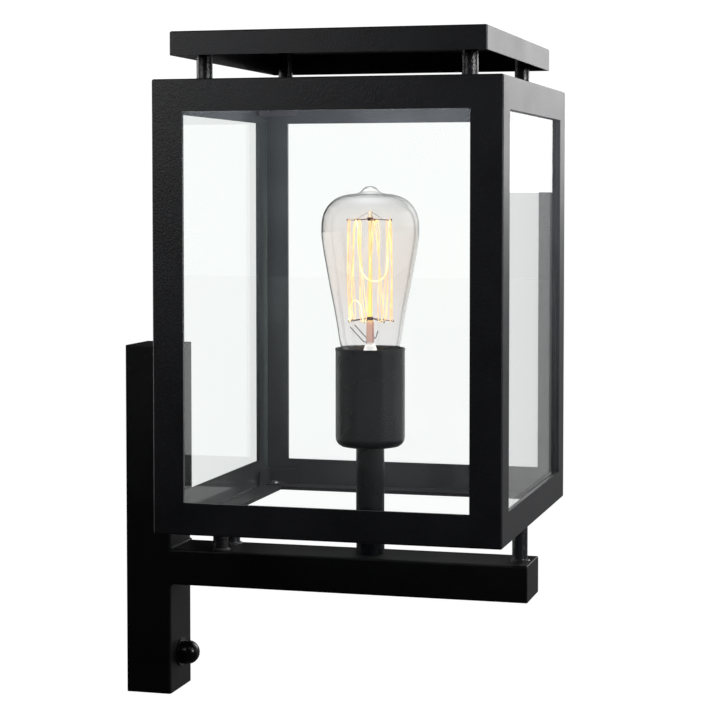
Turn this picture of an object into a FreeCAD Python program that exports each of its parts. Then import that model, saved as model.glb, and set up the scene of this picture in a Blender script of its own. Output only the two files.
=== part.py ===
import FreeCAD, Part
import math
import os

V = FreeCAD.Vector
os.makedirs("parts", exist_ok=True)

# Outdoor wall lantern. +Z is up, the wall is the plane y = 0 and the lantern stands out along -Y.
# The origin is the middle of the wall bracket's back face. All sizes are millimetres.

# Lantern frame: a square box of steel angle
FRAME_WIDE = 220.0
FRAME_HIGH = 281.0
FRAME_FROM_WALL = 54.0
FRAME_BASE = 7.0
ANGLE_LEG = 20.0
ANGLE_THICK = 2.5
EDGE_ROUND = 1.2
FRAME_TOP = FRAME_BASE + FRAME_HIGH
HALF = FRAME_WIDE / 2
MID_Y = -(FRAME_FROM_WALL + HALF)

# Glazing
PANE_THICK = 3.0
FIT_GAP = 0.2
TOP_PLATE_THICK = 1.5
PANE_BASE = FRAME_BASE + ANGLE_THICK + FIT_GAP
PANE_TOP = FRAME_TOP - ANGLE_THICK - TOP_PLATE_THICK - FIT_GAP
PANE_OUTER = HALF - ANGLE_THICK - FIT_GAP
PANE_INNER = PANE_OUTER - PANE_THICK
CLIP_LONG = 22.0
CLIP_HIGH = 11.0
CLIP_THICK = 1.2
CLIP_FOOT = 12.0
CLIP_SCREW_R = 1.5
CLIP_SCREW_HEAD_R = 2.8
CLIP_SCREW_HEAD_HIGH = 1.6

# Roof tray on four pins
ROOF_WIDE = 213.0
ROOF_OUT = 199.0
ROOF_HIGH = 14.8
ROOF_SHEET = 1.5
ROOF_ROUND = 1.4
ROOF_GAP = 14.6
ROOF_BASE = FRAME_TOP + ROOF_GAP
ROOF_TOP = ROOF_BASE + ROOF_HIGH
PIN_R = 5.0
ROOF_PIN_INSET = 25.6
STUD_R = 3.0
STUD_PROUD = 1.5
NUT_HIGH = 5.0
NUT_FLATS = 10.0
THREAD_GAP = 0.05

# Wall column and its inside
COLUMN_WIDE = 40.0
COLUMN_OUT = 31.0
COLUMN_HALF_HIGH = 117.0
COLUMN_SHEET = 2.0
TOP_CAP_THICK = 2.0
BOTTOM_CAP_THICK = 3.0
BRACKET_WIDE = 35.0
BRACKET_HALF_HIGH = 100.0
BRACKET_THICK = 3.0
BRACKET_TAB_OUT = 18.0
WALL_HOLE_R = 2.75
WALL_HOLE_SPACING = 150.0
GROMMET_Z = 50.0
GROMMET_R = 7.0
GROMMET_BORE_R = 4.0
GROMMET_LIP = 1.5
LOCK_SCREW_R = 2.5
LOCK_SCREW_Y = -11.0
LOCK_SCREW_PROUD = 3.0

# Arm and the three pins that carry the lantern
ARM_WIDE = 40.0
ARM_HIGH = 24.0
ARM_SHEET = 2.0
ARM_END = -272.6
ARM_TOP = FRAME_BASE - 26.0
ARM_BASE = ARM_TOP - ARM_HIGH
ARM_MID = ARM_TOP - ARM_HIGH / 2
ARM_PIN_INSET = 10.0
ARM_PIN_HALF_SPACING = 12.5
PIN_FOOT_R = 6.6
WIRE_HOLE_R = 8.0

# Movement sensor in the column's outward face
SENSOR_Z = FRAME_BASE - 99.5
LENS_R = 8.0
LENS_WALL = 0.9
LENS_SPIGOT_R = 7.0
SENSOR_HOLE_R = 7.3
COLLAR_R = 9.5
COLLAR_THICK = 1.2
LENS_STRAIGHT = 3.8
RING_NUT_FLATS = 19.0
RING_NUT_THICK = 4.0
BOARD_FACE = -COLUMN_OUT + COLUMN_SHEET + RING_NUT_THICK + 2.0
BOARD_THICK = 1.6
BOARD_HALF_WIDE = 13.0
BOARD_BELOW = 17.0
BOARD_ABOVE = 21.0
CAN_R = 4.1
CAN_FLANGE_R = 4.7
CAN_FLANGE_THICK = 0.5
CAN_HIGH = 4.2
RELAY_X = (-9.0, 6.0)
RELAY_Z = (6.0, 18.0)
RELAY_OUT = 12.0
SENSOR_WIRE_X = (-12.2, 3.4, 12.2)
SENSOR_WIRE_RISE = 40.0

# Stem, cup and lampholder
STEM_R = 9.3
STEM_WALL = 1.5
CUP_BASE = FRAME_BASE + 45.0
CUP_RIM = FRAME_BASE + 109.8
CUP_R = 22.8
CUP_RIM_R = 23.05
CUP_WALL = 1.5
CUP_ROUND = 6.0
TUBE_R = 4.9
TUBE_BORE_R = 3.5
TUBE_NUT_FLATS = 14.0
TUBE_NUT_HIGH = 3.0
HOLDER_R = 19.0
HOLDER_BASE = CUP_BASE + 7.0
HOLDER_TOP = FRAME_BASE + 98.0
HOLDER_FLOOR_LOW = HOLDER_BASE + 9.0
HOLDER_FLOOR_HIGH = HOLDER_BASE + 14.0
HOLDER_BORE_R = 14.9
HOLDER_RECESS_R = 12.0
SHELL_FLOOR_R = 6.0
SHELL_FLOOR_THICK = 0.6
SHELL_LIFT = 2.0
CONTACT_R = 4.0
CONTACT_THICK = 0.8
SHELL_IN_R = 13.45
SHELL_THICK = 0.4
THREAD_DEEP = 0.5
THREAD_PITCH = 3.629
THREAD_TURNS = 5

# Bulb: a 64 mm teardrop with an E27 cap
BULB_BASE = FRAME_BASE + 74.0
CAP_R = 13.1
CAP_SKIRT_R = 13.25
CAP_THICK = 0.35
CAP_LOW = BULB_BASE + 4.0
CAP_TOP = BULB_BASE + 26.0
CAP_THREAD_TURNS = 4
CAP_SKIRT_HIGH = 4.0
CAP_EYE_R = 8.4
INSULATOR_R = 8.3
INSULATOR_LIP = 1.4
SOLDER_R = 3.6
SOLDER_HIGH = 1.5
SOLDER_TOP_R = 4.8
GLASS_R = 32.05
GLASS_WALL = 0.8
GLASS_WIDEST = FRAME_BASE + 187.5
GLASS_CONE_LEAN = 10.6
GLASS_BELLY_R = 105.0
GLASS_DOME = FRAME_BASE + 211.2
GLASS_TIP = FRAME_BASE + 215.9
GLASS_TIP_R = 4.5
NECK_R = 12.6
NECK_IN_CAP = 3.8
SHOULDER_RISE = 5.2
DOME_POINTS = ((29.2, 13.2), (22.0, 20.5))
FLARE_R = 11.4
PINCH_R = 4.2
STALK_R = 2.6
ROD_TOP_RISE = 6.0
LEAD_IN_R = 0.35
LEAD_IN_FOOT = 2.9
LEAD_IN_REACH = 10.5
FILAMENT_LOW = FRAME_BASE + 127.9
FILAMENT_HIGH = FRAME_BASE + 193.5
FILAMENT_RING_R = 14.5
FILAMENT_WIRE_R = 0.3
SUPPORT_COUNT = 7
HUB_R = 2.1
UPPER_HUB_RISE = 4.0
LOWER_HUB_RISE = 3.5
HOOK_PAST = 0.8
ROD_R = 1.3

# Wiring
LEAD_R = 1.1
THIN_WIRE_R = 0.7
BLOCK_Z = 20.0
BLOCK_HIGH = 16.0
BLOCK_WIDE = 28.0
BLOCK_OUT = 14.0
BLOCK_PITCH = 9.0
BLOCK_BORE_R = 1.7
BLOCK_WELL_R = 1.9
BLOCK_WELL_RISES = (4.0, 12.0)
BLOCK_SCREW_R = 1.8
WIRE_Y = -9.0
EARTH_Z = -14.0
EARTH_SCREW_R = 2.0
EARTH_HEAD_R = 3.8
EARTH_HEAD_HIGH = 2.5
TAG_R = 4.5
TAG_THICK = 1.0
TAG_HALF_WIDE = 1.5
BARREL_R = 1.9
BARREL_BORE_R = 1.2
BARREL_Y = -BRACKET_THICK - BARREL_R
BARREL_LOW = EARTH_Z + 7.0
BARREL_TOP = EARTH_Z + 13.0
NEUTRAL_X = 9.0
POST_R = 1.5
POST_BELOW = 2.0


def save(name, shape):
    shape.exportStep("parts/" + name + ".step")


def box(x0, x1, y0, y1, z0, z1):
    return Part.makeBox(x1 - x0, y1 - y0, z1 - z0, V(x0, y0, z0))


def rod(radius, start, end):
    run = end - start
    return Part.makeCylinder(radius, run.Length, start, run)


def ring(outer, inner, start, end):
    return rod(outer, start, end).cut(rod(inner, start, end))


def spin(points, x, y):
    """A solid of revolution about the vertical line through x, y, from (radius, height) points."""
    wire = Part.makePolygon([V(r, 0, z) for r, z in points + points[:1]])
    solid = Part.Face(wire).revolve(V(0, 0, 0), V(0, 0, 1), 360)
    solid.translate(V(x, y, 0))
    return solid


def spin_edges(edges, x, y):
    """A solid of revolution from a closed loop of edges in the XZ plane."""
    solid = Part.Face(Part.Wire(edges)).revolve(V(0, 0, 0), V(0, 0, 1), 360)
    solid.translate(V(x, y, 0))
    return solid


def line(a, b):
    return Part.LineSegment(V(a[0], 0, a[1]), V(b[0], 0, b[1])).toShape()


def arc(a, b, c):
    return Part.Arc(V(a[0], 0, a[1]), V(b[0], 0, b[1]), V(c[0], 0, c[1])).toShape()


def axis_arc(foot, top_z):
    """An arc from foot up to the axis at top_z, with its centre on the axis."""
    rise = top_z - foot[1]
    radius = (foot[0] ** 2 + rise ** 2) / (2 * rise)
    half_turn = math.asin(min(1.0, foot[0] / radius)) / 2
    if rise > radius:
        half_turn = math.pi / 2 - half_turn
    return arc(foot, (radius * math.sin(half_turn), top_z - radius * (1 - math.cos(half_turn))), (0, top_z))


def hex_nut(flats, bore, bottom, high):
    corner = flats / math.sqrt(3)
    points = [bottom + V(corner * math.cos(math.radians(60 * i)), corner * math.sin(math.radians(60 * i)), 0)
              for i in range(7)]
    body = Part.Face(Part.makePolygon(points)).extrude(V(0, 0, high))
    return body.cut(rod(bore, bottom, bottom + V(0, 0, high)))


def rounded_block(x0, x1, y0, y1, z0, z1, radius):
    """A block with its four upright edges rounded."""
    block = box(x0, x1, y0, y1, z0, z1)
    upright = [e for e in block.Edges if abs(e.Vertexes[0].Z - e.Vertexes[1].Z) > 1e-6]
    return block.makeFillet(radius, upright)


# ---- lantern frame ----

def angle_section(leg, thick, outer_round):
    """An L section in the XY plane, its outer corner at the origin and its legs along +X and +Y."""
    bend = outer_round * (1 - math.sqrt(0.5))
    edges = [
        Part.LineSegment(V(outer_round, 0, 0), V(leg, 0, 0)).toShape(),
        Part.LineSegment(V(leg, 0, 0), V(leg, thick, 0)).toShape(),
        Part.LineSegment(V(leg, thick, 0), V(thick, thick, 0)).toShape(),
        Part.LineSegment(V(thick, thick, 0), V(thick, leg, 0)).toShape(),
        Part.LineSegment(V(thick, leg, 0), V(0, leg, 0)).toShape(),
        Part.LineSegment(V(0, leg, 0), V(0, outer_round, 0)).toShape(),
        Part.Arc(V(0, outer_round, 0), V(bend, bend, 0), V(outer_round, 0, 0)).toShape(),
    ]
    return Part.Face(Part.Wire(edges))


def corner_post(quarter):
    """An upright angle between the rails. Its outer corner is turned to one of four corners."""
    post = angle_section(ANGLE_LEG, ANGLE_THICK, EDGE_ROUND).extrude(V(0, 0, FRAME_HIGH - 2 * ANGLE_LEG))
    post.translate(V(-HALF, -HALF, FRAME_BASE + ANGLE_LEG))
    post.rotate(V(0, 0, 0), V(0, 0, 1), 90 * quarter)
    post.translate(V(0, MID_Y, 0))
    return post


def bottom_rail(quarter):
    """An angle with an upright fascia and a ledge pointing inwards, mitred at both ends."""
    section = angle_section(ANGLE_LEG, ANGLE_THICK, EDGE_ROUND)
    section.rotate(V(0, 0, 0), V(1, 0, 0), 90)
    section.translate(V(-HALF, HALF, FRAME_BASE))
    bar = section.extrude(V(0, -FRAME_WIDE, 0))
    corners = [V(-HALF, -HALF, 0), V(0, 0, 0), V(-HALF, HALF, 0), V(-HALF, -HALF, 0)]
    wedge = Part.Face(Part.makePolygon(corners)).extrude(V(0, 0, FRAME_TOP))
    outline = rounded_block(-HALF, HALF, -HALF, HALF, FRAME_BASE, FRAME_BASE + ANGLE_LEG, EDGE_ROUND)
    rail = bar.common(wedge).common(outline)
    rail.rotate(V(0, 0, 0), V(0, 0, 1), 90 * quarter)
    rail.translate(V(0, MID_Y, 0))
    return rail


def top_rail(quarter):
    """The bottom rail turned upside down about the frame's middle height."""
    mid_height = FRAME_BASE + FRAME_HIGH / 2
    return bottom_rail(quarter).mirror(V(0, 0, mid_height), V(0, 0, 1))


def top_plate():
    reach = HALF - ANGLE_THICK - FIT_GAP
    top = FRAME_TOP - ANGLE_THICK
    plate = box(-reach, reach, MID_Y - reach, MID_Y + reach, top - TOP_PLATE_THICK, top)
    for x, y in roof_pin_places():
        plate = plate.cut(rod(STUD_R + FIT_GAP, V(x, y, top - TOP_PLATE_THICK), V(x, y, top)))
    for x, y in clip_screw_places():
        plate = plate.cut(rod(CLIP_SCREW_R + THREAD_GAP, V(x, y, top - TOP_PLATE_THICK), V(x, y, top)))
    return plate


def with_clip_holes(rail):
    for x, y in clip_screw_places():
        rail = rail.cut(rod(CLIP_SCREW_R + THREAD_GAP, V(x, y, FRAME_BASE), V(x, y, FRAME_BASE + ANGLE_THICK)))
    return rail


def with_top_clip_holes(rail):
    for x, y in clip_screw_places():
        rail = rail.cut(rod(CLIP_SCREW_R + THREAD_GAP, V(x, y, FRAME_TOP - ANGLE_THICK), V(x, y, FRAME_TOP)))
    return rail


# ---- glazing ----

def side_pane(side):
    """A pane in a face square to the wall. It runs right into both corners."""
    faces = sorted([side * PANE_INNER, side * PANE_OUTER])
    return box(faces[0], faces[1], MID_Y - PANE_OUTER, MID_Y + PANE_OUTER, PANE_BASE, PANE_TOP)


def cross_pane(side):
    """A pane in a face parallel to the wall. It butts between the two side panes."""
    reach = PANE_INNER - FIT_GAP
    faces = sorted([MID_Y + side * PANE_INNER, MID_Y + side * PANE_OUTER])
    return box(-reach, reach, faces[0], faces[1], PANE_BASE, PANE_TOP)


def clip_screw_places():
    reach = PANE_INNER - FIT_GAP - CLIP_THICK - CLIP_FOOT / 2
    return [(sx * reach, MID_Y + sy * reach) for sx in (-1, 1) for sy in (-1, 1)]


def corner_clip(sx, sy):
    """Two tabs at a right angle, holding the panes, and a foot screwed to the ledge."""
    reach = PANE_INNER - FIT_GAP
    low = FRAME_BASE + ANGLE_THICK
    foot_reach = CLIP_THICK + CLIP_FOOT
    one = box(reach - CLIP_LONG, reach, reach - CLIP_THICK, reach, low, low + CLIP_HIGH)
    two = box(reach - CLIP_THICK, reach, reach - CLIP_LONG, reach, low, low + CLIP_HIGH)
    foot = box(reach - foot_reach, reach, reach - foot_reach, reach, low, low + CLIP_THICK)
    clip = one.fuse(two).fuse(foot).removeSplitter()
    hole = reach - CLIP_THICK - CLIP_FOOT / 2
    clip = clip.cut(rod(CLIP_SCREW_R + FIT_GAP, V(hole, hole, low), V(hole, hole, low + CLIP_THICK)))
    if sx < 0:
        clip = clip.mirror(V(0, 0, 0), V(1, 0, 0))
    if sy < 0:
        clip = clip.mirror(V(0, 0, 0), V(0, 1, 0))
    clip.translate(V(0, MID_Y, 0))
    return clip


def clip_screw(x, y, low):
    """A pan-head screw down through the clip's foot and the ledge."""
    head_base = low + ANGLE_THICK + CLIP_THICK
    shank = rod(CLIP_SCREW_R, V(x, y, low), V(x, y, head_base))
    head = rod(CLIP_SCREW_HEAD_R, V(x, y, head_base), V(x, y, head_base + CLIP_SCREW_HEAD_HIGH))
    return shank.fuse(head).removeSplitter()


def top_clip_shift(shape, drop):
    """Turns a bottom clip or its screw over, to sit under the top plate."""
    mid_height = FRAME_BASE + FRAME_HIGH / 2
    turned = shape.mirror(V(0, 0, mid_height), V(0, 0, 1))
    turned.translate(V(0, 0, -drop))
    return turned


# ---- roof ----

def roof_pin_places():
    reach = HALF - ROOF_PIN_INSET
    return [(sx * reach, MID_Y + sy * reach) for sx in (-1, 1) for sy in (-1, 1)]


def roof_tray():
    """A shallow tray, open below, with its top and upright edges rounded."""
    outer = rounded_block(-ROOF_WIDE / 2, ROOF_WIDE / 2, MID_Y - ROOF_OUT / 2, MID_Y + ROOF_OUT / 2,
                          ROOF_BASE, ROOF_TOP, ROOF_ROUND)
    rim = [e for e in outer.Edges if min(v.Z for v in e.Vertexes) > ROOF_TOP - 1e-3]
    outer = outer.makeFillet(ROOF_ROUND - THREAD_GAP, rim)
    inner_x = ROOF_WIDE / 2 - ROOF_SHEET
    inner_y = ROOF_OUT / 2 - ROOF_SHEET
    hollow = box(-inner_x, inner_x, MID_Y - inner_y, MID_Y + inner_y, ROOF_BASE, ROOF_TOP - ROOF_SHEET)
    return outer.cut(hollow)


def roof_pin(x, y):
    """A round spacer with a stud that goes down through the top plate."""
    seat = FRAME_TOP - ANGLE_THICK
    stud_end = seat - TOP_PLATE_THICK - NUT_HIGH - STUD_PROUD
    spacer = rod(PIN_R, V(x, y, seat), V(x, y, ROOF_TOP - ROOF_SHEET))
    stud = rod(STUD_R, V(x, y, stud_end), V(x, y, seat))
    return spacer.fuse(stud).removeSplitter()


def roof_pin_nut(x, y):
    top = FRAME_TOP - ANGLE_THICK - TOP_PLATE_THICK
    return hex_nut(NUT_FLATS, STUD_R + THREAD_GAP, V(x, y, top - NUT_HIGH), NUT_HIGH)


# ---- wall column ----

def column_shell():
    """A folded channel, open towards the wall, with holes for the arm's wires and the sensor."""
    low = -COLUMN_HALF_HIGH + BOTTOM_CAP_THICK
    high = COLUMN_HALF_HIGH - TOP_CAP_THICK
    half = COLUMN_WIDE / 2
    block = box(-half, half, -COLUMN_OUT, 0, low, high)
    outward = [e for e in block.Edges
               if abs(e.Vertexes[0].Z - e.Vertexes[1].Z) > 1e-6 and e.Vertexes[0].Y < -1]
    block = block.makeFillet(EDGE_ROUND, outward)
    hollow = box(-half + COLUMN_SHEET, half - COLUMN_SHEET, -COLUMN_OUT + COLUMN_SHEET, 0, low, high)
    shell = block.cut(hollow)
    for radius, z in ((WIRE_HOLE_R, ARM_MID), (SENSOR_HOLE_R, SENSOR_Z)):
        shell = shell.cut(rod(radius, V(0, -COLUMN_OUT, z), V(0, -COLUMN_OUT + COLUMN_SHEET, z)))
    return shell


def column_cap(low, high):
    half = COLUMN_WIDE / 2
    plate = box(-half, half, -COLUMN_OUT, 0, low, high)
    outward = [e for e in plate.Edges
               if abs(e.Vertexes[0].Z - e.Vertexes[1].Z) > 1e-6 and e.Vertexes[0].Y < -1]
    return plate.makeFillet(EDGE_ROUND, outward)


def bottom_cap():
    """The lower cap, with a countersunk hole for the locking screw."""
    low = -COLUMN_HALF_HIGH
    cap = column_cap(low, low + BOTTOM_CAP_THICK)
    return cap.cut(countersunk(LOCK_SCREW_R + FIT_GAP, FIT_GAP, low, low + BOTTOM_CAP_THICK))


def countersunk(shank_r, grow, low, high):
    """A shank upwards from low, with a cone head whose flat lies at low."""
    head_r = 2 * LOCK_SCREW_R + grow
    points = [(0, low), (head_r, low), (shank_r, low + head_r - shank_r), (shank_r, high), (0, high)]
    return spin(points, 0, LOCK_SCREW_Y)


def wall_bracket():
    """A flat bar on the wall with a hook tab at the top and a threaded tab at the bottom."""
    half = BRACKET_WIDE / 2
    high = BRACKET_HALF_HIGH
    bar = box(-half, half, -BRACKET_THICK, 0, -high, high)
    tab_half = half / 2
    hook = box(-tab_half, tab_half, -BRACKET_TAB_OUT, 0, high - BRACKET_THICK, high)
    foot = box(-tab_half, tab_half, -BRACKET_TAB_OUT, 0, -high, -high + BRACKET_THICK)
    bar = bar.fuse(hook).fuse(foot).removeSplitter()
    for z in (-WALL_HOLE_SPACING / 2, WALL_HOLE_SPACING / 2):
        bar = bar.cut(rod(WALL_HOLE_R, V(0, -BRACKET_THICK, z), V(0, 0, z)))
    bar = bar.cut(rod(GROMMET_R - 1, V(0, -BRACKET_THICK, GROMMET_Z), V(0, 0, GROMMET_Z)))
    bar = bar.cut(rod(EARTH_SCREW_R + THREAD_GAP, V(0, -BRACKET_THICK, EARTH_Z), V(0, 0, EARTH_Z)))
    lock = V(0, LOCK_SCREW_Y, 0)
    return bar.cut(rod(LOCK_SCREW_R + THREAD_GAP, lock + V(0, 0, -high), lock + V(0, 0, -high + BRACKET_THICK)))


def cable_grommet():
    """A rubber ring with a flange on the inner side of the bracket."""
    back = V(0, 0, GROMMET_Z)
    face = V(0, -BRACKET_THICK, GROMMET_Z)
    lip = V(0, -BRACKET_THICK - GROMMET_LIP, GROMMET_Z)
    body = rod(GROMMET_R - 1, back, face).fuse(rod(GROMMET_R + 1, face, lip)).removeSplitter()
    return body.cut(rod(GROMMET_BORE_R, back, lip))


def locking_screw():
    high = -BRACKET_HALF_HIGH + BRACKET_THICK + LOCK_SCREW_PROUD
    return countersunk(LOCK_SCREW_R, 0, -COLUMN_HALF_HIGH, high)


# ---- wiring in the column ----

def terminal_block():
    """Three poles: a wire bore through each, and two screw wells in its face."""
    half = BLOCK_WIDE / 2
    face = -BRACKET_THICK - BLOCK_OUT
    block = box(-half, half, face, -BRACKET_THICK, BLOCK_Z, BLOCK_Z + BLOCK_HIGH)
    for pole in (-1, 0, 1):
        x = pole * BLOCK_PITCH
        block = block.cut(rod(BLOCK_BORE_R, V(x, WIRE_Y, BLOCK_Z), V(x, WIRE_Y, BLOCK_Z + BLOCK_HIGH)))
        for rise in BLOCK_WELL_RISES:
            z = BLOCK_Z + rise
            block = block.cut(rod(BLOCK_WELL_R, V(x, face, z), V(x, WIRE_Y, z)))
    return block


def terminal_screws():
    face = -BRACKET_THICK - BLOCK_OUT
    screws = []
    for pole in (-1, 0, 1):
        for rise in BLOCK_WELL_RISES:
            x = pole * BLOCK_PITCH
            z = BLOCK_Z + rise
            screws.append(rod(BLOCK_SCREW_R, V(x, face + 1, z), V(x, WIRE_Y - LEAD_R - FIT_GAP / 2, z)))
    return Part.makeCompound(screws)


def earth_screw():
    seat = V(0, -BRACKET_THICK - TAG_THICK, EARTH_Z)
    shank = rod(EARTH_SCREW_R, V(0, 0, EARTH_Z), seat)
    head = rod(EARTH_HEAD_R, seat, seat - V(0, EARTH_HEAD_HIGH, 0))
    return shank.fuse(head).removeSplitter()


def earth_tag():
    """A ring tongue under the earth screw's head, with an upright crimp barrel."""
    back = V(0, -BRACKET_THICK, EARTH_Z)
    front = back - V(0, TAG_THICK, 0)
    disc = rod(TAG_R, back, front)
    tongue = box(-TAG_HALF_WIDE, TAG_HALF_WIDE, front.y, back.y, EARTH_Z, BARREL_LOW + 2)
    barrel = rod(BARREL_R, V(0, BARREL_Y, BARREL_LOW), V(0, BARREL_Y, BARREL_TOP))
    tag = disc.fuse(tongue).fuse(barrel)
    tag = tag.cut(rod(BARREL_BORE_R, V(0, BARREL_Y, BARREL_LOW + 1), V(0, BARREL_Y, BARREL_TOP)))
    return tag.cut(rod(EARTH_SCREW_R + FIT_GAP, back, front)).removeSplitter()


def lead(points, radius):
    """A round wire along straight runs joined by tangent arcs as large as the runs allow."""
    places = [V(*p) for p in points]
    edges = []
    here = places[0]
    for before, corner, after in zip(places, places[1:], places[2:]):
        back = (before - corner).normalize()
        on = (after - corner).normalize()
        half_open = back.getAngle(on) / 2
        reach = 0.45 * min((before - corner).Length, (after - corner).Length)
        start = corner + back * reach
        end = corner + on * reach
        bend_r = reach * math.tan(half_open)
        centre = corner + (back + on).normalize() * (reach / math.cos(half_open))
        middle = centre + (corner - centre).normalize() * bend_r
        edges.append(Part.LineSegment(here, start).toShape())
        edges.append(Part.Arc(start, middle, end).toShape())
        here = end
    edges.append(Part.LineSegment(here, places[-1]).toShape())
    path = Part.Wire(edges)
    section = Part.Wire([Part.makeCircle(radius, places[0], places[1] - places[0])])
    solid = path.makePipeShell([section], True, False)
    print("lead", round(path.Length, 1), "long, volume ratio",
          round(solid.Volume / (math.pi * radius ** 2 * path.Length), 4))
    return solid


def lamp_lead(side, end_z, end_x):
    """From a pole of the terminal block, down the column, along the arm and up the stem."""
    stem_x = side * 1.7
    return lead([
        (side * BLOCK_PITCH, WIRE_Y, BLOCK_Z + 6),
        (side * BLOCK_PITCH, WIRE_Y, BLOCK_Z - 18),
        (side * 7.0, WIRE_Y - 2, ARM_MID + 14),
        (side * 4.5, WIRE_Y - 18, ARM_MID),
        (side * 4.0, MID_Y / 2, ARM_MID - 4),
        (stem_x, MID_Y + 24, ARM_MID - 6),
        (stem_x, MID_Y, ARM_MID - 6),
        (stem_x, MID_Y, HOLDER_BASE + 0.5),
        (end_x, MID_Y, end_z - 2),
        (end_x, MID_Y, end_z),
    ], LEAD_R)


def earth_lead():
    return lead([
        (0, WIRE_Y, BLOCK_Z + 6),
        (0, WIRE_Y, BLOCK_Z - 8),
        (0, BARREL_Y, BARREL_TOP + 4),
        (0, BARREL_Y, BARREL_LOW + 1),
    ], LEAD_R)


# ---- movement sensor ----

def sensor_point(out):
    """A point on the sensor's axis, this far out from the column's outward face."""
    return V(0, -COLUMN_OUT - out, SENSOR_Z)


def sensor_lens():
    """A hollow dome on a short straight wall, with a threaded spigot through the column."""
    dome_at = sensor_point(COLLAR_THICK + LENS_STRAIGHT)
    seat = sensor_point(COLLAR_THICK)
    back = sensor_point(-COLUMN_SHEET - RING_NUT_THICK - 0.5)
    skin = rod(LENS_R, seat, dome_at).fuse(Part.makeSphere(LENS_R, dome_at))
    skin = skin.fuse(rod(LENS_SPIGOT_R, back, seat))
    inner_r = LENS_SPIGOT_R - LENS_WALL
    hollow = rod(inner_r, back, dome_at).fuse(Part.makeSphere(inner_r, dome_at))
    behind = box(-LENS_R, LENS_R, seat.y, 0, SENSOR_Z - LENS_R, SENSOR_Z + LENS_R)
    keep = rod(LENS_SPIGOT_R, back, seat)
    return skin.cut(behind.cut(keep)).cut(hollow).removeSplitter()


def sensor_nut():
    inside = sensor_point(-COLUMN_SHEET)
    deep = sensor_point(-COLUMN_SHEET - RING_NUT_THICK)
    corner = RING_NUT_FLATS / math.sqrt(3)
    points = [inside + V(corner * math.cos(math.radians(60 * i)), 0, corner * math.sin(math.radians(60 * i)))
              for i in range(7)]
    body = Part.Face(Part.makePolygon(points)).extrude(deep - inside)
    return body.cut(rod(LENS_SPIGOT_R + THREAD_GAP, inside, deep))


def sensor_board():
    return box(-BOARD_HALF_WIDE, BOARD_HALF_WIDE, BOARD_FACE, BOARD_FACE + BOARD_THICK,
               SENSOR_Z - BOARD_BELOW, SENSOR_Z + BOARD_ABOVE)


def sensor_can():
    seat = V(0, BOARD_FACE, SENSOR_Z)
    step = seat - V(0, CAN_FLANGE_THICK, 0)
    return rod(CAN_FLANGE_R, seat, step).fuse(rod(CAN_R, step, seat - V(0, CAN_HIGH, 0))).removeSplitter()


def sensor_relay():
    back = BOARD_FACE + BOARD_THICK
    return box(RELAY_X[0], RELAY_X[1], back, back + RELAY_OUT, SENSOR_Z + RELAY_Z[0], SENSOR_Z + RELAY_Z[1])


def sensor_wires():
    """Three thin wires from the board's top edge up to the terminal block's underside."""
    y = BOARD_FACE + BOARD_THICK / 2
    start_z = SENSOR_Z + BOARD_ABOVE
    bend_y = y + 7
    wires = [lead([(x, y, start_z), (x, y, start_z + SENSOR_WIRE_RISE), (x, bend_y, BLOCK_Z - 28),
                   (x, bend_y, BLOCK_Z)], THIN_WIRE_R) for x in SENSOR_WIRE_X]
    return Part.makeCompound(wires)


# ---- arm ----

def arm_tube():
    """A box tube butted to the column, with a hole in its top wall for the stem's inner tube."""
    half = ARM_WIDE / 2
    start = -COLUMN_OUT
    end = ARM_END + ARM_SHEET
    outer = box(-half, half, end, start, ARM_BASE, ARM_TOP)
    along = [e for e in outer.Edges if abs(e.Vertexes[0].Y - e.Vertexes[1].Y) > 1e-6]
    outer = outer.makeFillet(EDGE_ROUND, along)
    hollow = box(-half + ARM_SHEET, half - ARM_SHEET, end, start, ARM_BASE + ARM_SHEET, ARM_TOP - ARM_SHEET)
    tube = outer.cut(hollow)
    return tube.cut(rod(TUBE_R + FIT_GAP, V(0, MID_Y, ARM_TOP - ARM_SHEET), V(0, MID_Y, ARM_TOP)))


def arm_end_cap():
    half = ARM_WIDE / 2
    plate = box(-half, half, ARM_END, ARM_END + ARM_SHEET, ARM_BASE, ARM_TOP)
    along = [e for e in plate.Edges if abs(e.Vertexes[0].Y - e.Vertexes[1].Y) > 1e-6]
    plate = plate.makeFillet(EDGE_ROUND, along)
    rim = [e for e in plate.Edges if max(v.Y for v in e.Vertexes) < ARM_END + 1e-3]
    return plate.makeChamfer(0.8, rim)


def lantern_pins():
    """Two pins side by side at the wall end and one at the outer end, each on a small foot."""
    near = -(FRAME_FROM_WALL + ARM_PIN_INSET)
    far = -(FRAME_FROM_WALL + FRAME_WIDE - ARM_PIN_INSET)
    places = [(-ARM_PIN_HALF_SPACING, near), (ARM_PIN_HALF_SPACING, near), (0, far)]
    foot = PIN_FOOT_R - PIN_R
    profile = [(0, ARM_TOP), (PIN_FOOT_R, ARM_TOP), (PIN_FOOT_R, ARM_TOP + 0.3), (PIN_R, ARM_TOP + foot),
               (PIN_R, FRAME_BASE), (0, FRAME_BASE)]
    return Part.makeCompound([spin(profile, x, y) for x, y in places])


# ---- stem, cup and lampholder ----

def stem_tube():
    return ring(STEM_R, STEM_R - STEM_WALL, V(0, MID_Y, ARM_TOP), V(0, MID_Y, CUP_BASE))


def threaded_tube():
    low = ARM_TOP - ARM_SHEET - TUBE_NUT_HIGH - 1
    return ring(TUBE_R, TUBE_BORE_R, V(0, MID_Y, low), V(0, MID_Y, HOLDER_BASE - 1.5))


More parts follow.
